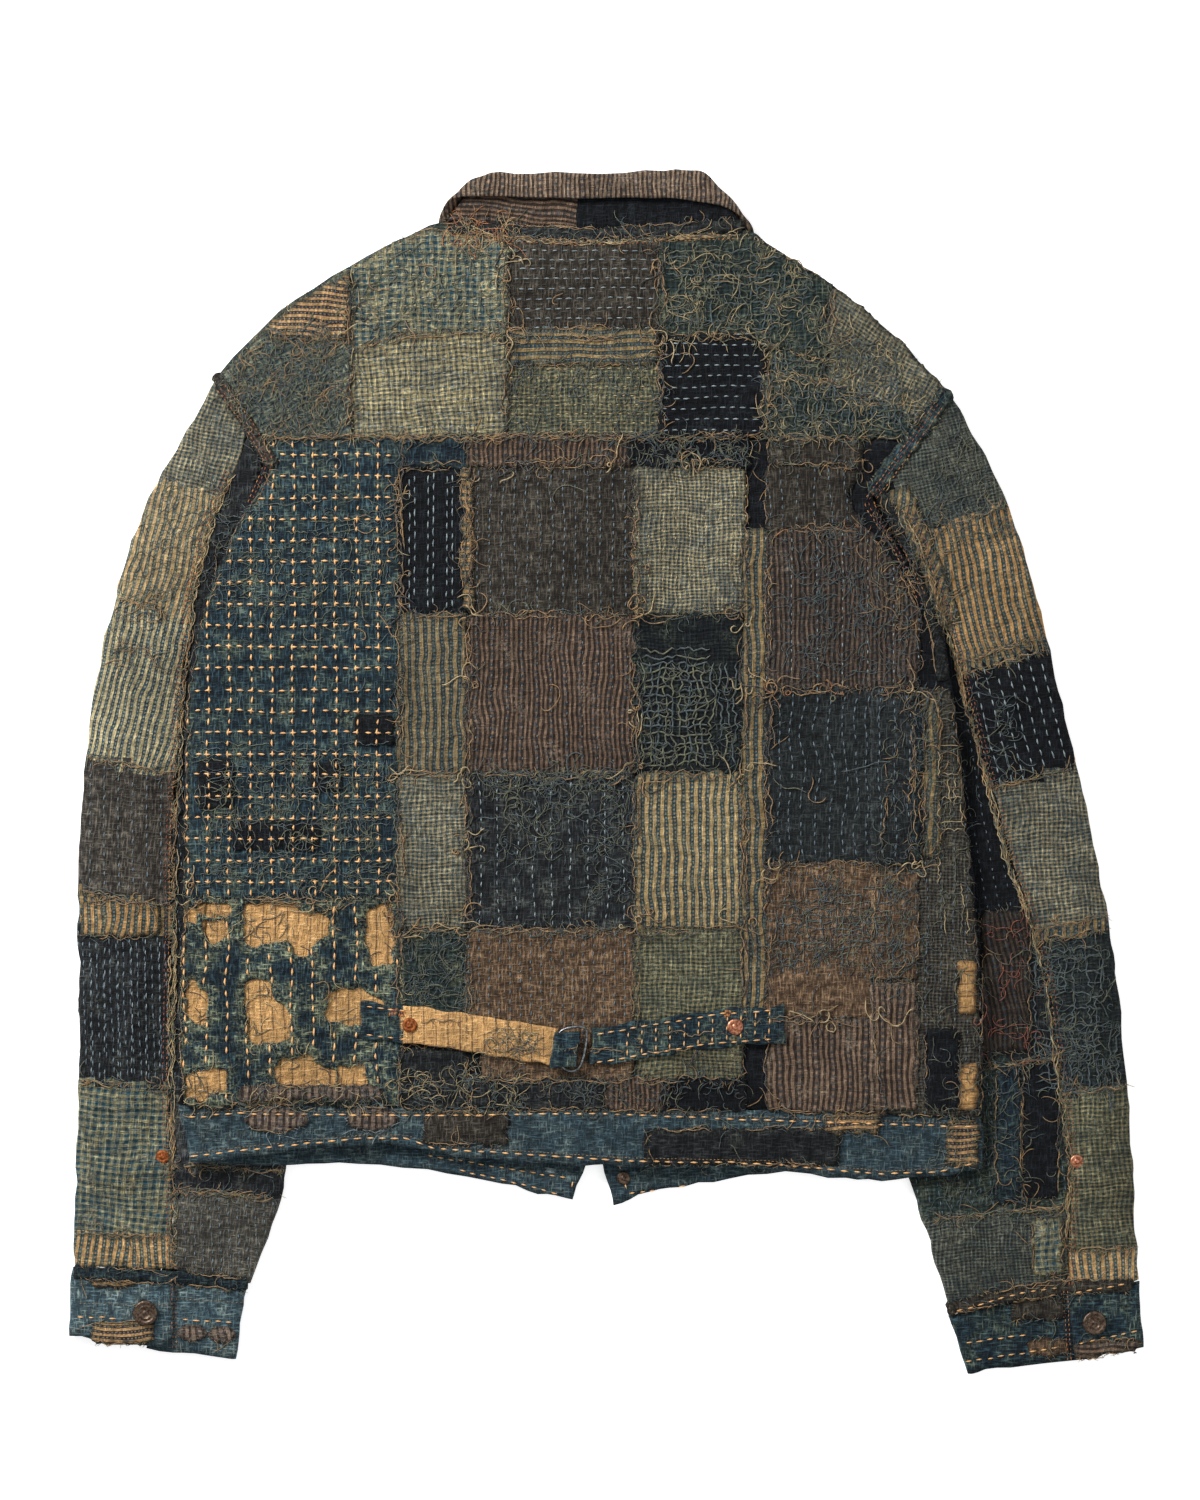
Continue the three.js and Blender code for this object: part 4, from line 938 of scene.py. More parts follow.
def strip_along(path, width):
    """The outline of a strip of even width along a path."""
    line = spaced(path, 6.0, closed=False)
    side = leftward(line) * width / 2
    loop = np.concatenate([line - side, (line + side)[::-1]])
    return loop if loop_area(loop) > 0 else loop[::-1]


def lay_strip(name, under, finish, turn, width, path, rough=0.6, margin=(1.5, 1.5)):
    """A narrow strip of cloth. margin is how much wider and longer it was cut; the size made from it is not
    used.
    """
    size = (width + margin[0], length_of(np.array(path, float)) + margin[1])
    patch(name, strip_along(path, width), finish, turn, grow=0, rough=rough, crumple=0.3, thickness=0.6,
          cell=3.0, size=size, trim=False)


# Each CAD patch: cloth, turn, and its quilting as degrees, pitch and height.
PATCH_STYLE = {
    "sashiko_grid": ("indigo", 0, (90, 7.1, 0.5)),
    "worn_indigo": ("indigo_torn", 0, (90, 7.2, 0.55)),
    "navy_narrow": ("navy", 0, (90, 12.7, 0.5)),
    "stripe_narrow": ("fine_dim", 0, None),
    "check_narrow": ("light_check", 0, None),
    "mesh_narrow": ("green_gauze", 0, None),
    "brown_plain": ("grey_brown", 0, (90, 8.0, 0.35)),
    "brown_stripe": ("brown_stripe", 0, None),
    "navy_worn": ("navy_faded", 0, None),
    "brown_low": ("brown", 0, (90, 7.0, 0.3)),
    "check_light": ("khaki_check", 0, None),
    "navy_mesh": ("teal_mesh", 0, None),
    "stripe_tan": ("fine_pale", 0, None),
    "check_low": ("green_check", 0, None),
    "strip": ("fine_tan", 0, None),
    "grey_right": ("grey_brown", 0, (90, 11.0, 0.35)),
    "brown_mesh": ("brown_dim", 0, None),
    "teal_right": ("teal_grey", 0, (90, 9.0, 0.4)),
    "brown_worn": ("brown", 0, None),
    "brown_rib": ("brown_rib", 0, None),
    "side_right": ("side_mottle", 0, (90, 9.0, 0.4)),
    "yoke_grey": ("grey_brown", 0, (0, 6.4, 0.35)),
    "yoke_blue": ("waffle", 0, None),
    "yoke_green": ("green_gauze", 0, None),
    "yoke_mixed": ("green_check", 0, None),
    "yoke_check": ("beige_grid", 4, None),
    "yoke_navy": ("navy", 0, (0, 7.0, 0.3)),
    "shoulder_left": ("shoulder_gauze", 30, None),
    "shoulder_right": ("light_check", -30, None),
    "shoulder_worn": ("green_gauze", -10, None),
}
# The torn holes of the worn indigo patch, in millimetres from its upper left corner, right and down.
TORN = [
    [(40, 1), (76, 1), (78, 8), (98, 9), (97, 22), (88, 29), (82, 38), (75, 36), (72, 27), (50, 29),
     (45, 33), (41, 26)],
    [(9, 1), (33, 2), (31, 10), (20, 11), (10, 9)],
    [(11, 13), (30, 13), (28, 27), (17, 28)],
    [(1.5, 4), (9, 4), (10, 15), (2, 15)],
    [(122, 8), (130, 2), (141, 2), (141, 42), (126, 44), (122, 28)],
    [(1.5, 52), (14, 58), (17, 68), (15, 84), (8, 82), (2, 78)],
    [(42, 52), (58, 53), (60, 65), (67, 69), (72, 77), (71, 94), (45, 96), (43, 82), (41, 66)],
    [(95, 64), (109, 57), (120, 60), (134, 66), (136, 79), (120, 82), (106, 84), (96, 78)],
    [(1.5, 115), (28, 111), (30, 125), (12, 134), (2, 133)],
    [(61, 114), (65, 105), (86, 104), (90, 110), (102, 112), (102, 123), (79, 126), (62, 124)],
    [(103, 111), (122, 110), (123, 125), (104, 126)],
]
PEACH_MARGIN = 5.0  # how far the pale cloth reaches beyond each hole


def build_patches():
    for name, (finish, turn, quilt) in PATCH_STYLE.items():
        node = "patch_" + name
        loop = border_of(node)
        holes = []
        if name == "worn_indigo":
            low, high = loop.min(0), loop.max(0)
            holes = [[(low[0] + x, high[1] - y) for x, y in hole][::-1] for hole in TORN]
            for k, hole in enumerate(holes):
                a = np.maximum(np.min(hole, 0) - PEACH_MARGIN, low + 0.5)
                b = np.minimum(np.max(hole, 0) + PEACH_MARGIN, high - 0.5)
                patch(f"peach_under_{k + 1}", box_loop(*a, *b), "peach", 88 + (k * 3) % 5, grow=0, rough=0.5,
                      crumple=0.25, thickness=0.5)
        patch("cloth_" + node, loop, finish, turn, holes, quilt=quilt, replaced=node)


# Small patches, by what they lie on: name, cloth, turn and box.
SMALL = [
    ("back_panel", [
        ("grid_dark_1", "navy", 0, (-273, -24, -250, 8)),
        ("grid_dark_2", "navy", 0, (-250, -52, -192, -34)),
        ("grid_dark_3", "navy", 0, (-198, -13, -177, 6)),
        ("grid_dark_4", "navy", 0, (-168, 18, -143, 38)),
        ("strip_teal", "indigo_dark", 0, (-140, 203, -92, 224)),
        ("strip_brown", "brown_stripe", 0, (-93, 204, 18, 225)),
        ("strip_navy", "navy", 0, (16, 204, 96, 226)),
    ]),
    ("yoke", [
        ("yoke_stripes", "fine_tan", 90, (-64, 272, 34, 296)),
    ]),
    ("back_panel", [
        ("low_navy", "navy_grey", 0, (-138, -226, -94, -186)),
        ("low_middle", "brown", 0, (-84, -208, 18, -186)),
        ("low_check", "green_check", 0, (20, -208, 92, -176)),
        ("low_indigo", "navy_grey", 0, (-92, -226, 0, -206)),
        ("low_brown", "brown_stripe", 0, (0, -227, 40, -206)),
        ("low_dark", "navy", 0, (38, -227, 94, -206)),
        ("wide_teal", "teal_grey", 0, (177, -62, 206, 50)),
        ("wide_brown", "brown", 0, (177, -138, 208, -68)),
        ("wide_rib", "brown_rib", 0, (177, -226, 208, -142)),
        ("side_tan", "fine_tan", 0, (213, -58, 223, 48)),
        ("side_peach", "peach", 2, (236, -162, 247, -126)),
        ("side_peach_low", "peach", 0, (234, -226, 248, -196)),
        ("side_navy", "navy", 0, (214, -226, 236, -172)),
    ]),
    ("waistband", [
        ("band_grey", "grey_brown", 0, (-122, -250, -66, -228)),
        ("band_navy", "navy_grey", 90, (26, -264, 156, -240)),
        ("band_tan", "band_stripe", 90, (147, -242, 183, -230)),
        ("band_tan_end", "band_stripe", 90, (228, -264, 249, -234)),
    ]),
    ("back_panel", [
        ("band_rib", "rib_oval", 0, (-246, -220, -150, -211)),
    ]),
    ("sleeve_left_outer", [
        ("sleeve_piece_left", "tan_stripe", -4, (-352, -110, -300, -88)),
    ]),
    ("sleeve_right_inner", [
        # sleeve_piece_right's brown_deep cloth is partly its own dark brown and partly painted shade of the
        # fold it lies in.
        ("sleeve_piece_right", "brown_deep", 8, (252, -188, 284, -94)),
        ("inner_navy", "navy", 2, (280, -286, 303, -192)),
        ("inner_indigo", "indigo_dark", 4, (262, -290, 278, -196)),
        ("inner_check", "waffle", 2, (286, -338, 306, -300)),
    ]),
    ("cuff_left", [
        ("cuff_left_stripes", "band_stripe", 90, (-345, -384, -304, -370)),
        ("cuff_left_top", "band_stripe", 90, (-344, -346, -316, -335)),
    ]),
    ("cuff_right", [
        ("cuff_right_rib", "brown_rib", 90, (314, -394, 358, -382)),
        ("cuff_right_grey", "grey_brown", 0, (272, -368, 307, -354)),
        ("cuff_right_brown", "brown", 0, (284, -392, 310, -381)),
    ]),
]
# Small oval pieces: name, what they lie on, centre and radii.
OVALS = [
    ("band_oval_left", "waistband", (-221, -233), (22, 9)),
    ("band_oval_right", "waistband", (-157, -233), (18, 9)),
    ("cuff_oval_left", "cuff_left", (-278, -377), (11, 6)),
    ("cuff_oval_right", "cuff_left", (-258, -378), (10, 6)),
]
# The outline of the striped piece on the left shoulder.
SHOULDER_STRIPES = [(-226, 289), (-172, 289), (-172, 334), (-198, 320), (-226, 300)]
# Narrow strips over the seams: name, what they lie on, cloth, turn, width, and the path.
SEAM_STRIPS = [
    ("seam_armhole_left", "yoke", "grey_brown", 30, 9, [(-262, 266), (-247, 243), (-230, 216), (-222, 203)]),
    ("seam_armhole_right", "yoke", "indigo", -35, 12, [(230, 256), (212, 230), (192, 206), (178, 186)]),
    ("seam_side_right", "back_panel", "navy_grey", -20, 9,
     [(183, 188), (196, 168), (212, 130), (222, 92), (226, 60)]),
    ("armhole_stripes", "sleeve_right_outer", "fine_tan", -15, 15,
     [(196, 190), (206, 166), (220, 132), (231, 98)]),
    ("seam_neck", "yoke", "navy_grey", 90, 9, [(-104, 365), (-60, 362), (-8, 359), (44, 362), (92, 366)]),
    ("seam_cuff_left", "sleeve_left_outer", "indigo_dark", 90, 9,
     [(-358, -336), (-310, -338), (-262, -342), (-240, -345)]),
    ("seam_cuff_right", "sleeve_right_outer", "grey_brown", 90, 9,
     [(228, -361), (250, -356), (276, -351), (310, -346), (354, -345)]),
    ("above_grey", "back_panel", "grey_brown", 0, 20, [(108, 215), (140, 215), (172, 212)]),
]
# Frayed strips that run down between patches.
SIDE_STRIPS = [
    ("side_edge", "back_panel", "indigo_dark", 90, 7.0, [(208, -62), (206, -20), (210, 20), (206, 52)]),
    ("edge_narrow_tan", "back_panel", "tan_stripe", 90, 7.0, [(-93.5, 108), (-93, 150), (-93.5, 204)]),
]


def build_small():
    for under, rows in SMALL:
        for name, finish, turn, box in rows:
            patch(name, box_loop(*box), finish, turn, grow=0.5, rough=0.8, thickness=0.6,
                  crumple=0.35, cell=3.2)
    patch("shoulder_stripes", np.array(SHOULDER_STRIPES, float), "band_stripe", 84, grow=0, rough=0.8,
          thickness=0.6)
    for name, under, centre, radii in OVALS:
        angles = np.linspace(0, TURN, 16, endpoint=False)
        loop = centre + np.stack([np.cos(angles), np.sin(angles)], 1) * radii
        patch(name, loop, "rib_oval", 0, grow=0, rough=0.4, thickness=0.5, cell=3.2)
    for row in SIDE_STRIPS:
        lay_strip(*row, rough=1.4, margin=(3.0, 2.0))


def build_seam_strips():
    for row in SEAM_STRIPS:
        lay_strip(*row)


# ---------- Threads ----------
def raised(flat, heights):
    """Flat paths taken to these heights."""
    return np.concatenate([flat, heights[..., None]], -1)


class Spool:
    """Collects the paths of threads of one colour and makes meshes of them."""

    MOST = 150_000  # triangles in one piece

    def __init__(self):
        self.paths = {}

    def add(self, colour, paths, radius, sides=3):
        """paths is an array of threads, each an equal number of points."""
        if len(paths):
            self.paths.setdefault((colour, radius, sides, paths.shape[1]), []).append(paths)

    def tubes(self, paths, radius, sides):
        """Points, walls and end caps of thin tubes along the paths, thinner at their ends."""
        count, steps, _ = paths.shape
        thin = np.ones(steps)
        thin[0] = thin[-1] = 0.35
        angles = np.arange(sides) * TURN / sides + math.pi / 2
        rings = rings_round(unit(np.gradient(paths, axis=1)), angles)
        points = paths[:, :, None] + rings * (radius * thin)[None, :, None, None]
        first = (np.arange(count) * steps * sides)[:, None]
        quads = first[..., None] + ring_quads(steps, sides)
        caps = [first + np.arange(sides), first + (steps - 1) * sides + np.arange(sides)[::-1]]
        return points.reshape(-1, 3), quads.reshape(-1, 4), np.concatenate(caps)

    def build(self):
        kinds = {}
        for (colour, radius, sides, _), batches in self.paths.items():
            kinds.setdefault(colour, []).append(self.tubes(np.concatenate(batches), radius, sides))
        for colour, parts in kinds.items():
            material = thread_material(colour)
            groups, total = [[]], 0
            for part in parts:
                size = 2 * len(part[1]) + 2 * len(part[2])
                if groups[-1] and total + size > self.MOST:
                    groups.append([])
                    total = 0
                groups[-1].append(part)
                total += size
            for number, group in enumerate(groups):
                self.join(f"threads_{colour}_{number + 1}", group, material)

    def join(self, name, group, material):
        """One piece from several sets of tubes."""
        start = 0
        points, quads, caps = [], [], {}
        for p, q, c in group:
            points.append(p)
            quads.append(q + start)
            caps.setdefault(c.shape[1], []).append(c + start)
            start += len(p)
        caps = {size: np.concatenate(c) for size, c in caps.items()}
        quads.append(caps.pop(4, np.zeros((0, 4), int)))
        mesh = new_mesh(name, np.concatenate(points), np.concatenate(quads), *caps.values())
        new_piece(name, mesh, [material])


spool = Spool()


def on_top(flat, lift):
    """Raises flat thread paths to just above what lies under them."""
    top = skin.tops(flat)
    top = np.where(top < 0, np.maximum.accumulate(top, axis=1), top)
    return raised(flat, np.maximum(top, 0.6) + lift)


def steps_about(reach, step):
    """Evenly stepped distances on both sides of 0."""
    count = int(reach / step)
    return (np.arange(2 * count + 1) - count) * step


def running(owner, angle, pitch, dash, gap, colour, radius=0.5, pair=0.0, wobble=0.5, box=None, finish=None,
            even=False, also=""):
    """Running stitches in parallel lines, where the named piece, or one whose name starts with also, is on
    top. finish is the number of the panel's cloth that they keep to."""
    rng = draws(f"{owner} {angle} {pitch} {colour}")
    low, high = corners_of(box) if box else (outlines[owner].min(0), outlines[owner].max(0))
    middle, half = (low + high) / 2, (high - low) / 2
    a = math.radians(angle)
    along, aside = np.array([math.cos(a), math.sin(a)]), np.array([-math.sin(a), math.cos(a)])
    reach = abs(half[0] * along[0]) + abs(half[1] * along[1])
    width = abs(half[0] * aside[0]) + abs(half[1] * aside[1])
    wander = waves(f"{owner} lines {angle}", 45.0)
    stitches = []
    for line in steps_about(width, pitch):
        for offset in (0.0, pair) if pair else (0.0,):
            t = steps_about(reach, dash + gap) + (0 if even else rng.uniform(0, dash + gap))
            t = t + rng.normal(0, 0.3, len(t))
            size = dash * rng.uniform(0.8, 1.2, len(t))
            ends = []
            for s in (-0.5, 0.0, 0.5):
                p = middle + (t + s * size)[:, None] * along + (line + offset) * aside
                ends.append(p + (wobble * wander(*p.T) + rng.normal(0, 0.15, len(t)))[:, None] * aside)
            stitches.append(np.stack(ends, 1))
    stitches = np.concatenate(stitches)
    top, who, number = skin.look(stitches)
    on = who == owner
    if finish is not None:
        on &= number == finish
    if also:
        on |= np.array([str(name).startswith(also) for name in who])
    on = on.reshape(-1, 3).all(1) & (rng.uniform(0, 1, len(stitches)) > 0.03)
    tops = top.reshape(-1, 3)[on]
    heights = tops + np.array([-0.2, 0.5, -0.2]) * radius / 0.5
    heights[:, 1] = np.maximum(heights[:, 1], (tops[:, 0] + tops[:, 2]) / 2 + 0.35)
    spool.add(colour, raised(stitches[on], heights), radius, 4)


def curly(name, starts, heading, colours, points, step, radius, bend, most=1.2):
    """Curly threads from the given starts, up to most above the cloth."""
    rng = draws("curly " + name)
    split = rng.integers(0, len(colours), len(starts))
    for number, colour in enumerate(colours):
        p = starts[split == number]
        if not len(p):
            continue
        angle = heading[split == number] + rng.normal(0, 0.4, len(p))
        turn = rng.normal(0, bend, len(p))
        stride = step * rng.uniform(0.55, 1.35, (len(p), 1))
        flat = [p]
        for _ in range(points - 1):
            turn = turn * 0.85 + rng.normal(0, bend * 0.6, len(p))
            angle = angle + turn
            p = p + stride * np.stack([np.cos(angle), np.sin(angle)], 1)
            flat.append(p)
        flat = np.stack(flat, 1)
        top, owner, _ = skin.look(flat)
        top = top.reshape(flat.shape[:2])
        keep = (top > LOWEST_TOP).all(1)
        if "tab" not in name:  # the belt carries only its own curly threads
            keep &= ~np.array([str(n).startswith("cinch") for n in owner]).reshape(flat.shape[:2]).any(1)
        flat, top = flat[keep], top[keep]
        top = np.maximum(top, (np.roll(top, 1, 1) + np.roll(top, -1, 1)) / 2)
        phase = rng.uniform(*ANY_ANGLE, (len(flat), 1))
        swell = 0.5 + 0.5 * np.sin(np.arange(points) * 0.8 + phase)
        lift = radius + most * rng.uniform(0.2, 1.0, (len(flat), 1)) * swell
        spool.add(colour, raised(flat, top + lift), radius)


def along_path(path, rng, number):
    """Random places on a path, with the path's heading there."""
    run = run_of(path)
    at = rng.uniform(0, run[-1], number)
    steps = np.diff(path, axis=0)
    index = np.clip(np.searchsorted(run, at) - 1, 0, len(steps) - 1)
    return at_run(path, run, at), np.arctan2(steps[index, 1], steps[index, 0])


def matted(name, path, colours, per_mm, width):
    """A band of matted curly threads along an edge."""
    rng = draws("matted " + name)
    number = int(length_of(path) * per_mm)
    if number < 2:
        return
    places, heading = along_path(path, rng, number)
    thick = waves("matted " + name, 22.0)
    keep = rng.uniform(-0.9, 0.6, number) < thick(*places.T)
    places, heading = places[keep], heading[keep]
    places = places + rng.normal(0, width / 3, (len(places), 2))
    heading = heading + np.where(rng.uniform(0, 1, len(places)) < 0.5, 0, math.pi)
    curly("matted " + name, places, heading, colours, 7, 1.9, 0.26, 0.3)


def stitched_line(path, dash, gap, colour, radius=0.45, aside=0.0, loose=0.2):
    """Stitches along one line."""
    rng = draws(f"line {path[0]} {path[-1]} {colour} {aside}")
    fine = spaced(path, (dash + gap) / 4, closed=False)
    along = unit(np.gradient(fine, axis=0))
    fine = fine + leftward(fine) * aside
    index = np.arange(2, len(fine) - 2, 4)
    centre = fine[index] + rng.normal(0, loose, (len(index), 2))
    half = along[index] * (dash / 2) * rng.uniform(0.8, 1.15, (len(index), 1))
    stitches = np.stack([centre - half, centre, centre + half], 1)
    top = skin.tops(stitches)
    keep = (top > 0).all(1)
    heights = top[keep] + np.array([-0.15, 0.4, -0.15]) * radius / 0.45
    spool.add(colour, raised(stitches[keep], heights), radius, 4)


def fray(name, path, colours, density, length, out, radius=0.2):
    """Short threads that stand out from an edge."""
    rng = draws("fray " + name)
    run = run_of(path)
    count = int(run[-1] * density)
    if count < 1:
        return
    patchy = waves("fray " + name, 30.0)
    for colour in colours:
        number = max(1, count // len(colours))
        at = rng.uniform(0, run[-1], number)
        p, n = at_run(path, run, at), unit(at_run(out, run, at))
        keep = rng.uniform(0, 1, number) < 0.45 + 0.55 * (patchy(*p.T) > 0)
        p, n = p[keep], n[keep]
        along = np.stack([-n[:, 1], n[:, 0]], 1)
        size = length * rng.uniform(0.3, 1.25, len(p))[:, None]
        slant = rng.normal(0, 0.8, len(p))[:, None]
        curl = rng.normal(0, 0.55, len(p))[:, None]
        flat = [p - n * 1.2 + size * (t * n + t * slant * along + t * t * curl * (along - 0.4 * n * slant))
                for t in (0.0, 0.35, 0.7, 1.0)]
        lift = np.array([0.1, 0.5, 0.75, 0.45]) * rng.uniform(0.6, 1.7, (len(p), 1))
        spool.add(colour, on_top(np.stack(flat, 1), lift), radius)


def edge_threads(name, path, colours, cover, radius=0.42, spread=1.0):
    """Longer twisted threads that lie along an edge."""
    rng = draws("edge " + name)
    points = 14
    fine = spaced(path, 2.3, closed=False)
    if len(fine) < points + 2:
        return
    side = leftward(fine)
    number = max(1, int(len(fine) / points * cover))
    for colour in colours:
        starts = rng.integers(0, len(fine) - points, number)
        index = starts[:, None] + np.arange(points)[None]
        t = np.arange(points)[None] * rng.uniform(0.5, 1.3, (number, 1))
        t = t + rng.uniform(*ANY_ANGLE, (number, 1))
        aside = spread * np.sin(t) * rng.uniform(0.3, 1.1, (number, 1))
        aside = aside + rng.normal(0, 0.5 * spread, (number, 1))
        flat = fine[index] + side[index] * aside[..., None] + rng.normal(0, 0.3, (number, points, 2))
        lift = 0.35 + 0.4 * (1 + np.cos(t * 1.3)) * rng.uniform(0.3, 1.0, (number, 1))
        spool.add(colour, on_top(flat, lift), radius)


def curls(name, box, count, colours):
    """Loose curly threads that lie over a place, in clumps."""
    rng = draws("curls " + name)
    clumps = waves("clumps " + name, 20.0)
    p = rng.uniform(*corners_of(box), (count * 3, 2))
    p = p[clumps(*p.T) > rng.normal(0.25, 0.3, len(p))][:count]
    heading = rng.choice([0, 0.5, 1, 1.5], len(p)) * math.pi
    thin = rng.uniform(0, 1, len(p)) < 0.6
    for radius, chosen in ((0.2, thin), (0.3, ~thin)):
        curly(f"curls {name} {radius}", p[chosen], heading[chosen], colours, 8, 2.0, radius, 0.38)


def torn_threads(box, count, colours):
    """Threads left across the torn holes."""
    name = "left across"
    rng = draws(name)
    p = rng.uniform(*corners_of(box), (count, 2))
    p = p[skin.under(p, "peach_under")]
    heading = rng.choice([0, 1], len(p)) * math.pi
    heading = heading + 1.57 * (rng.uniform(0, 1, len(p)) < 0.3)  # these go upright
    curly(name, p, heading, colours, 8, 1.8, 0.3, 0.2, most=0.6)


def net(name, box, pitch, colours, radius, missing):
    """A worn net of thick threads over a place, with a share of its pieces missing."""
    rng = draws("net " + name)
    low, high = corners_of(box)
    points = 9
    for turn in (0, 1):
        drift = waves(f"net {name} {turn}", 25.0)
        t = np.arange(low[turn], high[turn], pitch * 0.55)
        pieces = []
        for line in np.arange(low[1 - turn], high[1 - turn], pitch):
            aside = line + rng.normal(0, pitch * 0.16, len(t)) + 0.4 * pitch * drift(t, line + 0 * t)
            path = np.stack([t, aside] if turn == 0 else [aside, t], 1)
            for start in range(0, len(t) - points, points - 1):
                if rng.uniform() > missing:
                    pieces.append(path[start : start + points])
        if not pieces:
            continue
        pieces = np.array(pieces)
        top = skin.tops(pieces)
        keep = (top > LOWEST_TOP).all(1)
        pieces, top = pieces[keep], top[keep]
        lift = 0.45 + 0.3 * np.sin(np.arange(points) * math.pi + turn * math.pi / 2)
        split = rng.integers(0, len(colours), len(pieces))
        for number, colour in enumerate(colours):
            chosen = split == number
            spool.add(colour, raised(pieces[chosen], top[chosen] + lift), radius)


# ---------- Stitches ----------
# Running stitches on the patches: heading, pitch, stitch, gap, colour, radius, and what else differs.
PATCH_STITCHES = {
    "navy_narrow": (90, 12.7, 5.2, 2.4, "pale", 0.5, {"pair": 3.6}),
    "brown_plain": (90, 8.2, 3.0, 2.4, "blue", 0.5, {"wobble": 1.2}),
    "brown_stripe": (90, 10.2, 1.8, 5.2, "blue", 0.42, {}),
    "navy_worn": (90, 12.0, 3.6, 2.6, "pale", 0.45, {"wobble": 2.0}),
    "brown_low": (90, 7.0, 3.0, 2.8, "blue", 0.46, {}),
    "teal_right": (90, 8.6, 3.8, 2.2, "blue", 0.5,
                   {"wobble": 3.0, "box": (109, -62, 208, 52), "also": "wide_teal"}),
    "grey_right": (90, 10.5, 3.2, 2.6, "blue", 0.46, {"wobble": 2.2}),
    "brown_mesh": (90, 17.0, 2.6, 3.6, "pale", 0.4, {}),
    "yoke_grey": (0, 6.4, 4.4, 2.4, "pale", 0.45, {"wobble": 0.8}),
    "yoke_navy": (0, 7.2, 4.0, 2.6, "pale", 0.5, {"wobble": 0.8}),
    "yoke_blue": (0, 5.2, 3.2, 3.6, "straw", 0.42, {}),
    "yoke_mixed": (0, 6.0, 3.0, 3.0, "straw", 0.38, {}),
    "yoke_check": (0, 9.0, 3.4, 3.4, "pale", 0.36, {}),
    "check_light": (90, 9.4, 2.0, 4.6, "straw", 0.36, {}),
    "side_right": (90, 9.0, 3.0, 3.0, "blue", 0.42, {"wobble": 1.5}),
    "brown_worn": (90, 8.0, 2.6, 3.4, "blue", 0.4,
                   {"wobble": 1.5, "box": (109, -138, 208, -66), "also": "wide_brown"}),
}
# Running stitches on the sleeves: panel, its cloth's number, the same values, and the box they lie in.
SLEEVE_STITCHES = [
    ("sleeve_left_outer", 3, (90, 9.5, 3.6, 2.8, "blue", 0.46), (-362, -84, -292, 4)),
    ("sleeve_left_outer", 5, (92, 4.6, 4.4, 2.2, "blue", 0.5), (-362, -212, -292, -104)),
    ("sleeve_left_outer", 5, (90, 9.2, 4.0, 3.4, "pale", 0.42), (-362, -212, -292, -104)),
    ("sleeve_left_inner", 3, (92, 6.0, 3.0, 2.8, "blue", 0.46), (-294, -346, -212, -264)),
    ("sleeve_left_inner", 0, (96, 6.5, 3.0, 3.2, "blue", 0.4), (-300, -262, -212, 90)),
    ("sleeve_right_outer", 3, (104, 7.7, 5.0, 2.4, "pale", 0.5), (238, -10, 330, 92)),
    ("sleeve_right_inner", 2, (98, 7.0, 3.2, 3.4, "blue", 0.4), (180, -292, 312, -192)),
    ("sleeve_right_inner", 0, (100, 8.0, 2.4, 3.8, "blue", 0.38), (180, -100, 312, 120)),
]


def build_stitches():
    grid = "cloth_patch_sashiko_grid"
    running(grid, 90, 14.2, 4.3, 2.85, "peach", 0.72, wobble=1.6, even=True, also="grid_dark")
    running(grid, 0, 14.3, 4.2, 2.9, "peach", 0.72, wobble=1.2, even=True, also="grid_dark")
    running("cloth_patch_worn_indigo", 90, 14.3, 5.2, 2.4, "peach", 0.74, wobble=1.8)
    for name, (*values, settings) in PATCH_STITCHES.items():
        running("cloth_patch_" + name, *values, **settings)
    for panel_name, number, values, box in SLEEVE_STITCHES:
        running(panel_name, *values, box=box, finish=number)


# Rows of stitches on the fronts' lower corners and round the cuffs.
FACING_ROWS = [
    [(-122, -258), (-66, -267), (-22, -274)], [(-100, -268), (-64, -276), (-28, -285)],
    [(-22, -274), (-24, -284)], [(8, -262), (14, -282)], [(14, -284), (60, -278)],
]
CUFF_ROWS = [
    [(-356, -366), (-322, -367)], [(-350, -394), (-300, -392)], [(-286, -368), (-246, -370)],
    [(234, -363), (268, -352), (306, -346)], [(313, -350), (358, -342)], [(240, -384), (283, -378)],
    [(315, -384), (358, -375)], [(240, -397), (306, -386)],
]


def build_facing_stitches():
    """The rows on the fronts' lower corners, and the bar of the open buttonhole."""
    for row in FACING_ROWS:
        stitched_line(between(*row), 4.2, 2.8, "peach", 0.5)
    for k in range(4):
        stitched_line(between((-42, -266 - k * 0.8), (-30, -268 - k * 0.8)), 9.0, 1.0, "pale", 0.45)


def build_cuff_stitches():
    """The rows round the cuffs and down the edge of each lap."""
    for row in CUFF_ROWS:
        stitched_line(between(*row), 4.4, 2.8, "peach", 0.52)
    for low, high in (((-290, -391), (-290, -338)), ((311, -396), (308, -347))):
        for aside in (-1.2, 1.2):
            stitched_line(between(low, high), 2.0, 1.2, "orange", 0.32, aside=aside, loose=0.1)
    for row in ([(-354, -357), (-292, -358)], [(-286, -354), (-244, -357)]):
        stitched_line(between(*row), 1.8, 1.0, "tan", 0.24, loose=0.1)


# The middle lines of the belt's two tabs.
LEFT_TAB = [(-162, -167), (-128, -170.5), (-78, -177.5), (-34, -184)]
RIGHT_TAB = [(-8, -185.5), (22, -180.5), (72, -172.5), (116, -169.5)]


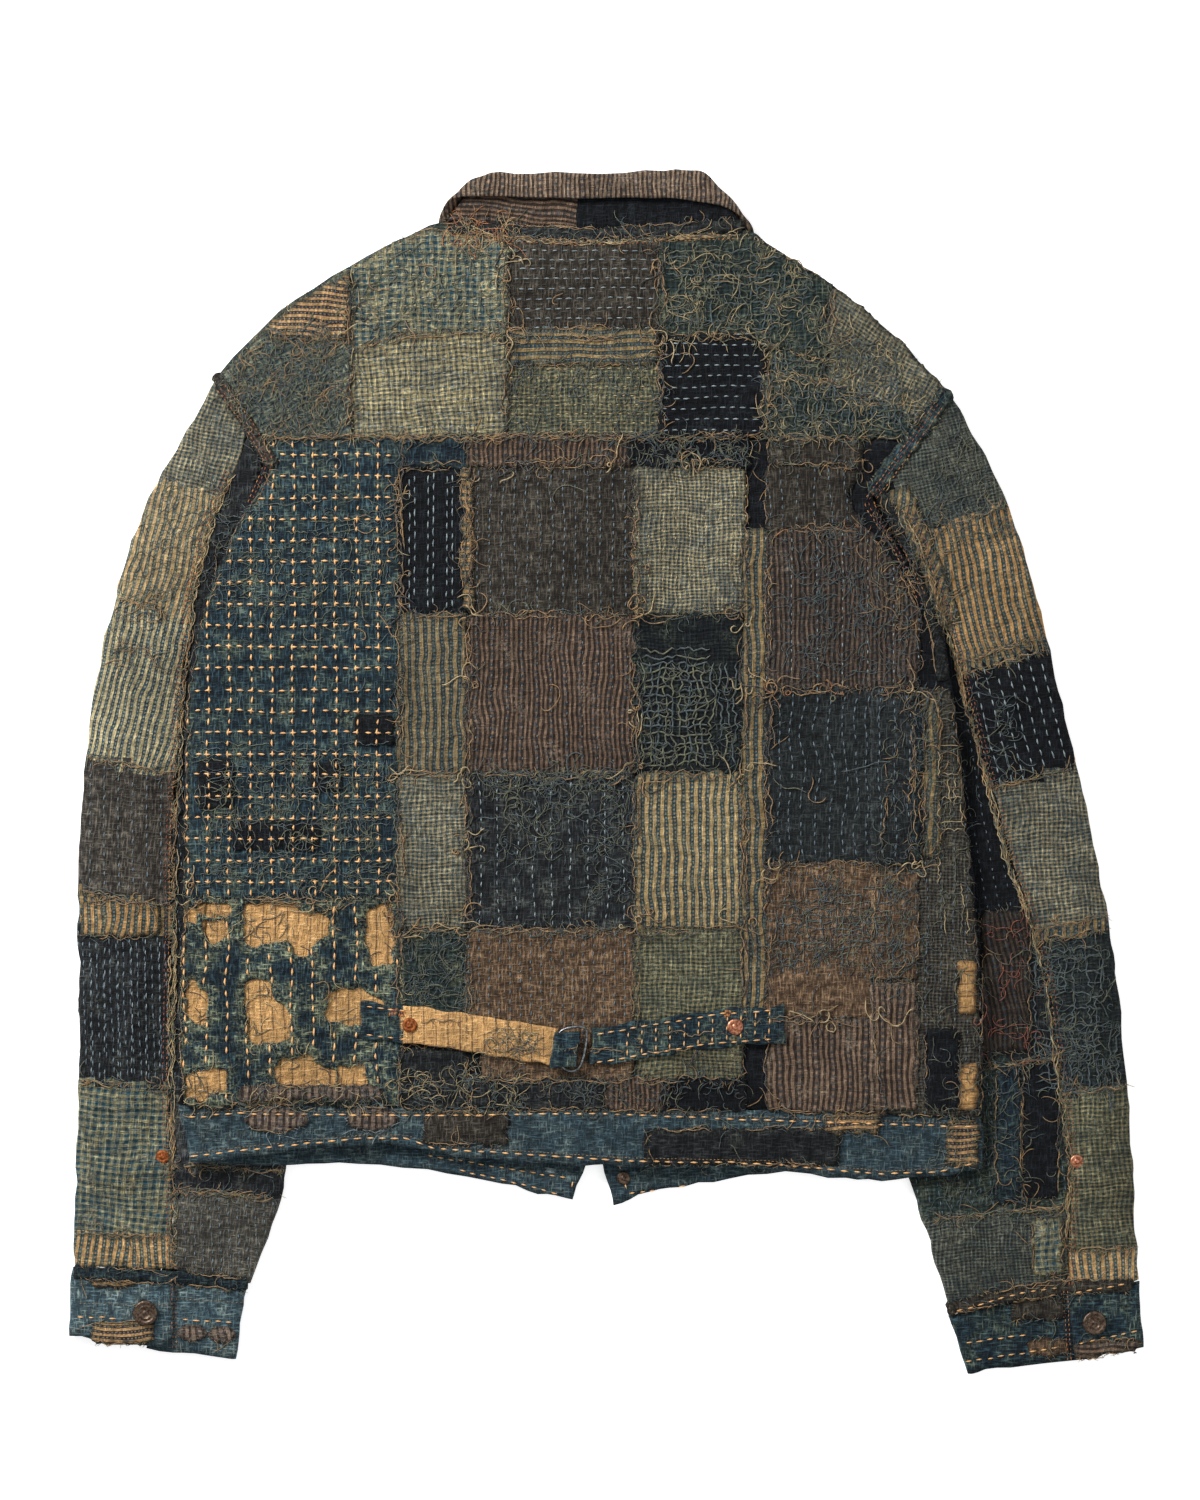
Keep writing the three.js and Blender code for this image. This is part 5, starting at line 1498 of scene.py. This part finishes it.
def build_cinch_stitches():
    """Rows along both tabs, rungs across the right one, and bars at the rivets."""
    for aside in (-9.5, 9.5):
        left = between(*[(x, y + aside) for x, y in LEFT_TAB])
        right = between(*[(x, y + aside) for x, y in RIGHT_TAB])
        stitched_line(left[:8], 4.6, 2.8, "peach", 0.5)
        stitched_line(right, 4.8, 2.8, "peach", 0.55)
    for x in np.arange(14, 112, 9.5):
        y = -181 + (x - 22) * 0.15
        stitched_line(between((x, y - 9), (x + 0.5, y + 9)), 3.6, 2.6, "peach", 0.5)
    for x, y in ((-132, -170), (86, -170), (-138, -169)):
        for k in range(5):
            bar = between((x - 7 + k * 0.9, y + 5), (x - 5.6 + k * 0.9, y + 12))
            stitched_line(bar, 2.6, 0.4, "orange", 0.36)


# ---------- Seams, frayed edges and fuzzy places ----------
# The seams above and below the waistband, and the left and right armhole.
WAIST_TOP = between((-282, -232), (-250, -229), (-128, -231), (-6, -229), (80, -233), (144, -235),
                    (247, -238))
WAIST_LOW = between((-280, -258), (-240, -253), (-163, -246), (-134, -246), (-115, -253), (16, -261),
                    (107, -263), (186, -270), (223, -268), (247, -262))
ARMHOLES = [
    between((-258, 258), (-240, 234), (-226, 210), (-228, 200), (-238, 176)),
    between((224, 246), (205, 219), (190, 198), (176, 180), (196, 150), (212, 116)),
]
# The sleeves' outer seams, and the side on which their stitches lie.
SLEEVE_SEAMS = {
    -1: between((-250, 200), (-262, 176), (-276, 121), (-284, 48), (-290, -52), (-290, -103), (-291, -153),
                (-292, -210), (-291, -257), (-289, -297), (-289, -334)),
    1: between((198, 175), (210, 151), (229, 94), (246, 29), (268, -56), (284, -100), (294, -140),
               (307, -232), (311, -268), (309, -310), (307, -346)),
}
NECK = between((-108, 362), (-66, 357), (-22, 354), (12, 355), (44, 357), (92, 359))
YOKE_SEAM = between((-232, 224), (-140, 224), (-20, 224), (90, 224), (180, 224))


def downward(path):
    """The way to the hem, for each point of a path."""
    return np.tile([[0.0, -1.0]], (len(path), 1))


def build_seams():
    """Stitches and worn threads along the seams."""
    for path in (WAIST_TOP, WAIST_LOW):
        stitched_line(path, 5.2, 3.2, "peach", 0.6)
        stitched_line(path, 1.7, 0.9, "tan", 0.24, aside=2.0, loose=0.08)
    for path in ARMHOLES:
        for aside, colour in ((-3.6, "orange"), (-1.2, "red"), (2.4, "orange")):
            stitched_line(path, 2.2, 1.3, colour, 0.34, aside=aside, loose=0.1)
    for side, path in SLEEVE_SEAMS.items():
        for aside, colour in ((3.2, "orange"), (5.6, "red")):
            stitched_line(path, 2.3, 1.4, colour, 0.34, aside=side * aside, loose=0.1)
        edge_threads(f"seam{side}", path, ("tan", "straw", "olive"), 1.6, spread=1.6)
        fray(f"seam{side}", path, ("tan", "olive"), 1.3, 5.0, np.tile([[side, 0.0]], (len(path), 1)))
    stitched_line(NECK, 2.0, 1.2, "orange", 0.32, aside=-2.0)
    edge_threads("neck", NECK, ("tan", "dark", "straw"), 1.4, spread=1.2)
    fray("neck", NECK, ("straw", "olive"), 1.2, 3.0, downward(NECK))
    edge_threads("yoke seam", YOKE_SEAM, ("tan", "olive", "dark"), 0.8, 0.34, 2.4)
    matted("yoke seam", YOKE_SEAM, ("tan", "olive", "grey_teal"), 0.5, 5.0)


def build_sleeve_edges():
    """Frayed threads where one band of a sleeve meets the next."""
    for node, (_, (left, right), rows) in SLEEVES.items():
        x = np.arange(left, right, 2.0)
        for _, end in rows[:-1]:
            path = np.stack([x, end + rise_of(node.split("_")[1], x, end)], 1)
            path = path[skin.look(path)[1] == node]
            if len(path) < 6:
                continue
            key = f"{node} {end}"
            edge_threads(key, path, ("tan", "olive"), 0.9, spread=1.5)
            matted(key, path, ("tan", "olive", "grey_teal"), 0.65, 3.6)
            fray(key, path, ("tan", "olive"), 1.2, 4.0, downward(path))


MOSS = ("olive", "grey_teal")
SEA = ("grey_teal", "olive")
STRAW = ("tan", "straw")
BARK = ("tan", "dark")
# How each piece's level and upright edges are frayed: the colours, and how many threads to a millimetre.
FRAYED = {
    "patch_sashiko_grid": ((("olive", "tan"), 0.5), (("olive", "tan"), 0.5)),
    "patch_worn_indigo": ((("olive", "grey_teal", "straw"), 0.8), (("olive", "straw"), 0.8)),
    "patch_yoke_green": ((("olive", "straw"), 1.0), (("olive", "tan"), 0.6)),
    "patch_yoke_navy": ((STRAW, 0.8), (STRAW, 1.2)),
    "patch_shoulder_left": ((("grey_teal", "olive", "straw"), 1.0), (("grey_teal", "olive", "straw"), 1.4)),
    "patch_shoulder_worn": ((("grey_teal", "straw"), 1.2), (("grey_teal", "straw"), 1.2)),
    "patch_navy_narrow": ((("olive", "dark"), 0.5), (("tan", "tan", "straw"), 1.1)),
    "patch_navy_mesh": ((MOSS, 1.2), (("dark", "tan"), 0.8)),
    "patch_navy_worn": ((SEA, 1.6), (BARK, 0.8)),
    "patch_teal_right": ((("tan", "dark", "olive"), 0.9), (BARK, 0.6)),
    "patch_brown_mesh": ((("tan", "orange", "olive"), 0.9), (("dark", "dark", "tan"), 0.7)),
    "band_oval_left": ((("pale", "grey_teal"), 1.6), (("pale", "grey_teal"), 1.6)),
    "band_oval_right": ((("pale", "grey_teal"), 1.6), (("pale", "grey_teal"), 1.6)),
}
USUAL_FRAY = ((("olive", "tan", "grey_teal"), 0.8), (("dark", "olive", "dark", "tan"), 0.55))
# Pieces that a wide_ piece goes on from, to the right.
WIDENED = ("cloth_patch_teal_right", "cloth_patch_brown_worn", "cloth_patch_brown_rib")


def runs(loop):
    """The loop cut into nearly level and nearly upright sides: each a kind, a path and the ways out of it."""
    out = outward(loop)
    level = np.abs(out[:, 1]) > np.abs(out[:, 0])
    starts = np.flatnonzero(level != np.roll(level, 1))
    if len(starts) == 0:
        return [("level", np.vstack([loop, loop[:1]]), np.vstack([out, out[:1]]))]
    sides = []
    for k, start in enumerate(starts):
        end = starts[(k + 1) % len(starts)]
        index = np.arange(start, end if end > start else end + len(loop)) % len(loop)
        if len(index) > 3:
            sides.append(("level" if level[start] else "upright", loop[index], out[index]))
    return sides


def build_frays():
    for name, loop in list(outlines.items()):
        if name.startswith(("peach_under", "grid_dark")):
            continue
        node = name.removeprefix("cloth_").split(" hole")[0]
        level, upright = FRAYED.get(node, USUAL_FRAY)
        covered = 1 if name in WIDENED else -1 if name.startswith("wide_") else 0
        for number, (kind, path, out) in enumerate(runs(loop)):
            key = f"{name} {number}"
            if kind == "upright" and out[:, 0].mean() * covered > 0:
                continue
            colours, count = level if kind == "level" else upright
            if "hole" in name:
                colours, count, out = ("olive", "grey_teal", "straw"), 0.7, -out
            elif kind == "upright":
                edge_threads(key, path, ("tan", "dark"), 0.7, 0.36, 0.5)
            else:
                edge_threads(key, path, ("tan",), 0.8, 0.34, 1.1)
            fray(key, path, colours, count * 0.62, 2.8, out)
            matted(key, path, colours, count * 0.25, 3.0)


# Corners where patches meet and loose threads hang.
KNOTS = [
    (-92, 104), (-92, -2), (19, 104), (19, -3), (92, 104), (92, -2), (-138, 104), (-138, -3), (-92, -105),
    (19, -105), (92, -105), (108, 56), (108, -62), (108, -164), (-60, 206), (0, 206), (60, 205), (20, 140),
    (20, 40), (-92, 60), (-91, -50), (92, 60), (207, 56), (207, -60), (-66, 290), (36, 290), (36, 340),
    (-66, 340), (-172, 300), (-200, -84), (-140, -84), (-280, -86), (60, -186), (-20, -186), (140, -166),
    (184, -166), (-138, -110),
]


def build_loose():
    """Long loose threads, most of them near the corners where patches meet."""
    rng = draws("loose")
    starts = np.concatenate([np.array(KNOTS, float) + rng.normal(0, 4, (len(KNOTS), 2)) for _ in range(6)])
    heading = rng.uniform(*ANY_ANGLE, len(starts))
    curly("knots", starts, heading, ("tan", "straw", "dark"), 12, 1.7, 0.45, 0.4, 1.8)
    anywhere = rng.uniform((-270, -220), (230, 350), (60, 2))
    heading = rng.uniform(*ANY_ANGLE, len(anywhere))
    curly("strays", anywhere, heading, ("tan", "olive", "grey_teal"), 16, 1.8, 0.36, 0.3, 1.6)


# Worn nets of threads: name, box, pitch, colours, radius and the share that is missing.
NETS = [
    ("navy mesh", (24, 4, 90, 84), 5.2, SEA, 0.62, 0.12),
    ("green right", (40, 296, 148, 350), 4.4, MOSS, 0.5, 0.3),
    ("sashiko high", (-262, 110, -142, 180), 3.6, MOSS, 0.3, 0.65),
    ("sashiko low", (-272, -72, -142, 20), 3.6, MOSS, 0.34, 0.6),
    ("sleeve right mesh", (288, -214, 356, -114), 5.0, ("grey_teal",), 0.45, 0.4),
    ("shoulder left", (-254, 230, -176, 300), 3.6, SEA, 0.3, 0.4),
    ("shoulder right", (110, 230, 210, 290), 4.0, SEA, 0.5, 0.4),
    ("brown worn", (114, -132, 202, -78), 4.4, MOSS, 0.4, 0.5),
    ("side worn", (222, -110, 246, 46), 4.0, ("olive", "straw"), 0.36, 0.6),
]


def build_nets():
    for row in NETS:
        net(*row)


# Fuzzy places: name, box, count and colours.
FUZZ = [
    ("grid high", (-262, 90, -142, 190), 130, MOSS),
    ("grid low", (-270, -80, -145, 10), 340, ("olive", "olive", "grey_teal")),
    ("mesh narrow", (-136, -165, -94, -108), 160, MOSS),
    ("navy worn left", (-72, -62, -28, -4), 110, SEA),
    ("navy worn right", (-14, -84, 18, -4), 130, SEA),
    ("navy worn top", (-90, -14, 18, -2), 110, SEA),
    ("navy mesh", (22, 2, 91, 70), 110, MOSS),
    ("brown mesh", (122, 58, 207, 168), 360, ("grey_teal", "grey_teal", "dark")),
    ("brown worn", (112, -136, 204, -76), 300, ("olive", "dark", "grey_teal")),
    ("shoulder left", (-256, 228, -174, 300), 440, ("grey_teal", "olive", "olive", "tan")),
    ("shoulder right", (108, 228, 212, 292), 340, ("grey_teal", "olive", "straw")),
    ("yoke green", (40, 293, 150, 352), 300, ("olive", "olive", "straw")),
    ("yoke mixed", (-64, 228, 36, 280), 180, MOSS),
    ("yoke blue", (-160, 294, -68, 350), 130, ("olive",)),
    ("side right", (184, -160, 246, 50), 160, SEA),
    ("strip navy", (18, 204, 94, 224), 120, MOSS),
    ("sleeve left check", (-356, 120, -250, 200), 130, MOSS),
    ("sleeve left upper", (-346, 60, -296, 130), 110, ("grey_teal", "olive", "tan")),
    ("sleeve right top", (220, 150, 280, 240), 180, SEA),
    ("sleeve right mesh", (290, -216, 350, -112), 240, SEA),
    ("sleeve right navy", (246, -10, 280, 60), 90, MOSS),
    ("inner right", (220, -300, 286, -190), 110, MOSS),
    ("inner right red", (250, -196, 286, -94), 60, ("red", "red", "olive")),
    ("waist left", (-280, -226, -140, -210), 60, ("grey_teal", "straw")),
    ("waist middle", (-136, -226, -60, -204), 170, ("straw", "grey_teal", "olive")),
    ("waist right", (-60, -226, 90, -204), 110, ("grey_teal", "dark", "olive")),
    ("tab worn", (-84, -192, -48, -172), 60, ("olive", "grey_teal", "straw")),
    ("armpit right", (176, 90, 232, 176), 120, ("olive", "tan")),
    ("collar end", (-108, 350, -62, 372), 90, ("tan", "orange", "straw")),
]


def build_fuzz():
    for row in FUZZ:
        curls(*row)
    torn_threads((-281, -221, -140, -89), 200, ("straw", "olive", "dark"))


# ---------- Metal ----------
SPIN_SIDES = 40
BUTTON_HEIGHT = 3.6
SEAT = 0.05  # gap between the cloth and what is riveted to it
WIRE = 0.85
WIRE_SIDES = 12


def turned(node, profile, centre, material, dents=0.04):
    """A round piece spun about its own axis, in place of its CAD node."""
    name = "metal_" + node
    s = np.arange(SPIN_SIDES)
    t = (s + 1) % SPIN_SIDES
    angles = s * TURN / SPIN_SIDES
    wave = 1 + dents * np.sin(3 * angles + draws(name).uniform(0, 6)) * 0.5
    rings = [np.stack([radius * wave * np.cos(angles), radius * wave * np.sin(angles),
                       np.full(SPIN_SIDES, height)], 1) for radius, height in profile]
    ends = [(0, 0, profile[0][1]), (0, 0, profile[-1][1])]
    points = np.concatenate([*rings, ends]) + centre
    quads = ring_quads(len(profile), SPIN_SIDES)[:, [0, 3, 2, 1]]
    last, middle = (len(profile) - 1) * SPIN_SIDES, len(profile) * SPIN_SIDES + 0 * s
    caps = np.concatenate([np.stack([middle, t, s], 1), np.stack([middle + 1, last + s, last + t], 1)])
    piece = new_piece(name, new_mesh(name, points, quads, caps), [material])
    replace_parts(piece, node)


def burr_profile(r):
    """A rivet's burr: a low dome with a hollow and the shank's point in it."""
    return [(0.2, 0), (r * 0.9, 0), (r, 0.3), (r * 0.97, 0.7), (r * 0.8, 1.0), (r * 0.62, 0.95),
            (r * 0.5, 0.7), (r * 0.36, 0.75), (r * 0.33, 1.35), (r * 0.22, 1.6), (r * 0.1, 1.5), (0.1, 1.45)]


def button_profile(r, h):
    """A work button: a rolled rim round a sunk middle."""
    return [(0.2, 0), (r * 0.5, 0), (r * 0.55, h * 0.25), (r * 0.86, h * 0.3), (r * 0.98, h * 0.5),
            (r, h * 0.7), (r * 0.95, h * 0.9), (r * 0.86, h), (r * 0.76, h * 0.97), (r * 0.7, h * 0.85),
            (r * 0.6, h * 0.8), (r * 0.56, h * 0.86), (r * 0.5, h * 0.88), (r * 0.45, h * 0.8),
            (r * 0.3, h * 0.62), (r * 0.2, h * 0.6), (r * 0.14, h * 0.72), (0.1, h * 0.74)]


def plain_profile(r, h):
    """A button seen only from its edge."""
    return [(0.2, 0.5), (r * 0.4, 0.5), (r * 0.55, 0.1), (r * 0.9, 0), (r, h * 0.3), (r * 0.96, h * 0.8),
            (r * 0.85, h), (0.1, h)]


def measured(node, on_cloth=True):
    """A round node's radius, its height, and the middle of its base, on the cloth or where the CAD has it."""
    low, high = box_of(node)
    x, y, _ = (low + high) / 2
    base = skin.look((x, y))[0][0] + SEAT if on_cloth else low[2]
    return (high[0] - low[0]) / 2, high[2] - low[2], np.array([x, y, base])


def build_metal():
    copper = metal("copper", 0xC98A6C, 0x7D4A34, 0.42)
    rusty = metal("rusty_copper", 0xB06A3C, 0x6A3A22, 0.7)
    bronze = metal("bronze", 0x6E5C4E, 0x3C322B, 0.45)
    rivets = [
        ("rivet_cinch_left", rusty, "copper"), ("rivet_cinch_right", copper, "copper"),
        ("rivet_sleeve_left", rusty, "copper"), ("rivet_sleeve_right", copper, "copper"),
        ("tack_waist", bronze, "button_metal"),
    ]
    for node, finish, slot in rivets:
        radius, _, centre = measured(node)
        turned(node, burr_profile(radius), centre, finish)
    for node in ("button_cuff_left", "button_cuff_right"):
        radius, _, centre = measured(node)
        turned(node, button_profile(radius, BUTTON_HEIGHT), centre, bronze)
    for node in [f"button_front_{k}" for k in (1, 2, 3, 4)] + ["button_waist"]:
        radius, height, centre = measured(node, on_cloth=False)
        turned(node, plain_profile(radius, height), centre, bronze, dents=0.0)
    build_buckle()


def build_buckle():
    """A bent wire loop: straight on the left, leaning on the right, with a small hook at its upper corner."""
    low, high = box_of("cinch_buckle")
    (left, bottom), (right, top) = low[:2] + WIRE, high[:2] - WIRE
    loop = np.array([(left + 2, bottom + 4), (right - 6, bottom + 1), (right - 1, top - 5),
                     (right - 5, top - 1), (left + 5, top - 3), (left + 1, top - 8)])
    for _ in range(3):
        loop = rounded(loop)
    loop = spaced(loop, 1.0)
    path = raised(loop, (low[2] + high[2]) / 2 + 0.25 * np.sin(np.arange(len(loop)) * 0.2))
    steel = metal("steel_wire", 0x8F9498, 0x55595C, 0.35)
    wire("metal_cinch_buckle", path, steel, "cinch_buckle")


def wire(name, path, material, replaced):
    """A closed loop of round wire."""
    ahead = unit(np.roll(path, -1, 0) - np.roll(path, 1, 0))
    points = path[:, None] + WIRE * rings_round(ahead, np.arange(WIRE_SIDES) * TURN / WIRE_SIDES)
    mesh = new_mesh(name, points.reshape(-1, 3), ring_quads(len(path), WIRE_SIDES, closed=True))
    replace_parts(new_piece(name, mesh, [material]), replaced)


# ---------- Light, floor and camera ----------
VIEW_HEIGHT = 1.005  # metres of floor in the picture's long side
LENS = 100.0
SENSOR = 36.0
VIEW_CENTRE = (-0.0042, 0.0143, 0.012)
FLOOR_HEIGHT = -0.0006
FLOOR_GLOW = 0.62
WORLD_LIGHT = 0.4
# Area lights: place and size in metres, and power in watts.
LIGHTS = {"key": ((-1.5, 1.3, 1.3), 0.7, 84), "fill": ((1.6, -0.6, 2.0), 2.0, 14)}


def build_floor():
    bpy.ops.mesh.primitive_plane_add(size=8, location=(0, 0, FLOOR_HEIGHT))
    floor = bpy.context.object
    floor.name = "floor"
    material = bpy.data.materials.new("floor")
    material.use_nodes = True
    shader = material.node_tree.nodes["Principled BSDF"]
    shader.inputs["Base Color"].default_value = (0.9, 0.9, 0.9, 1)
    shader.inputs["Roughness"].default_value = 0.9
    shader.inputs["Emission Color"].default_value = (1, 1, 1, 1)
    shader.inputs["Emission Strength"].default_value = FLOOR_GLOW
    floor.data.materials.append(material)


def build_lights(scene):
    world = bpy.data.worlds.new("studio")
    scene.world = world
    world.use_nodes = True
    background = world.node_tree.nodes["Background"]
    background.inputs[0].default_value = (1, 1, 1, 1)
    background.inputs[1].default_value = WORLD_LIGHT
    for name, (place, size, power) in LIGHTS.items():
        light = bpy.data.lights.new(name, "AREA")
        light.energy = power
        light.size = size
        lamp = bpy.data.objects.new(name, light)
        lamp.location = place
        lamp.rotation_euler = (-Vector(place)).to_track_quat("-Z", "Y").to_euler()
        scene.collection.objects.link(lamp)


def build_camera(scene):
    """Looks straight down at the jacket."""
    data = bpy.data.cameras.new("camera")
    data.lens = LENS
    data.sensor_width = SENSOR
    camera = bpy.data.objects.new("camera", data)
    camera.location = (VIEW_CENTRE[0], VIEW_CENTRE[1], VIEW_CENTRE[2] + VIEW_HEIGHT * LENS / SENSOR)
    scene.collection.objects.link(camera)
    scene.camera = camera


def build_stage():
    scene = bpy.context.scene
    scene.view_settings.view_transform = "Standard"
    build_floor()
    build_lights(scene)
    build_camera(scene)


build_stage()
build_body()
build_sleeves()
build_ends()
build_patches()
build_small()
build_seam_strips()
build_cinch()
build_metal()
build_stitches()
build_seams()
build_cinch_stitches()
build_cuff_stitches()
build_facing_stitches()
build_sleeve_edges()
build_frays()
build_fuzz()
build_nets()
build_loose()
spool.build()
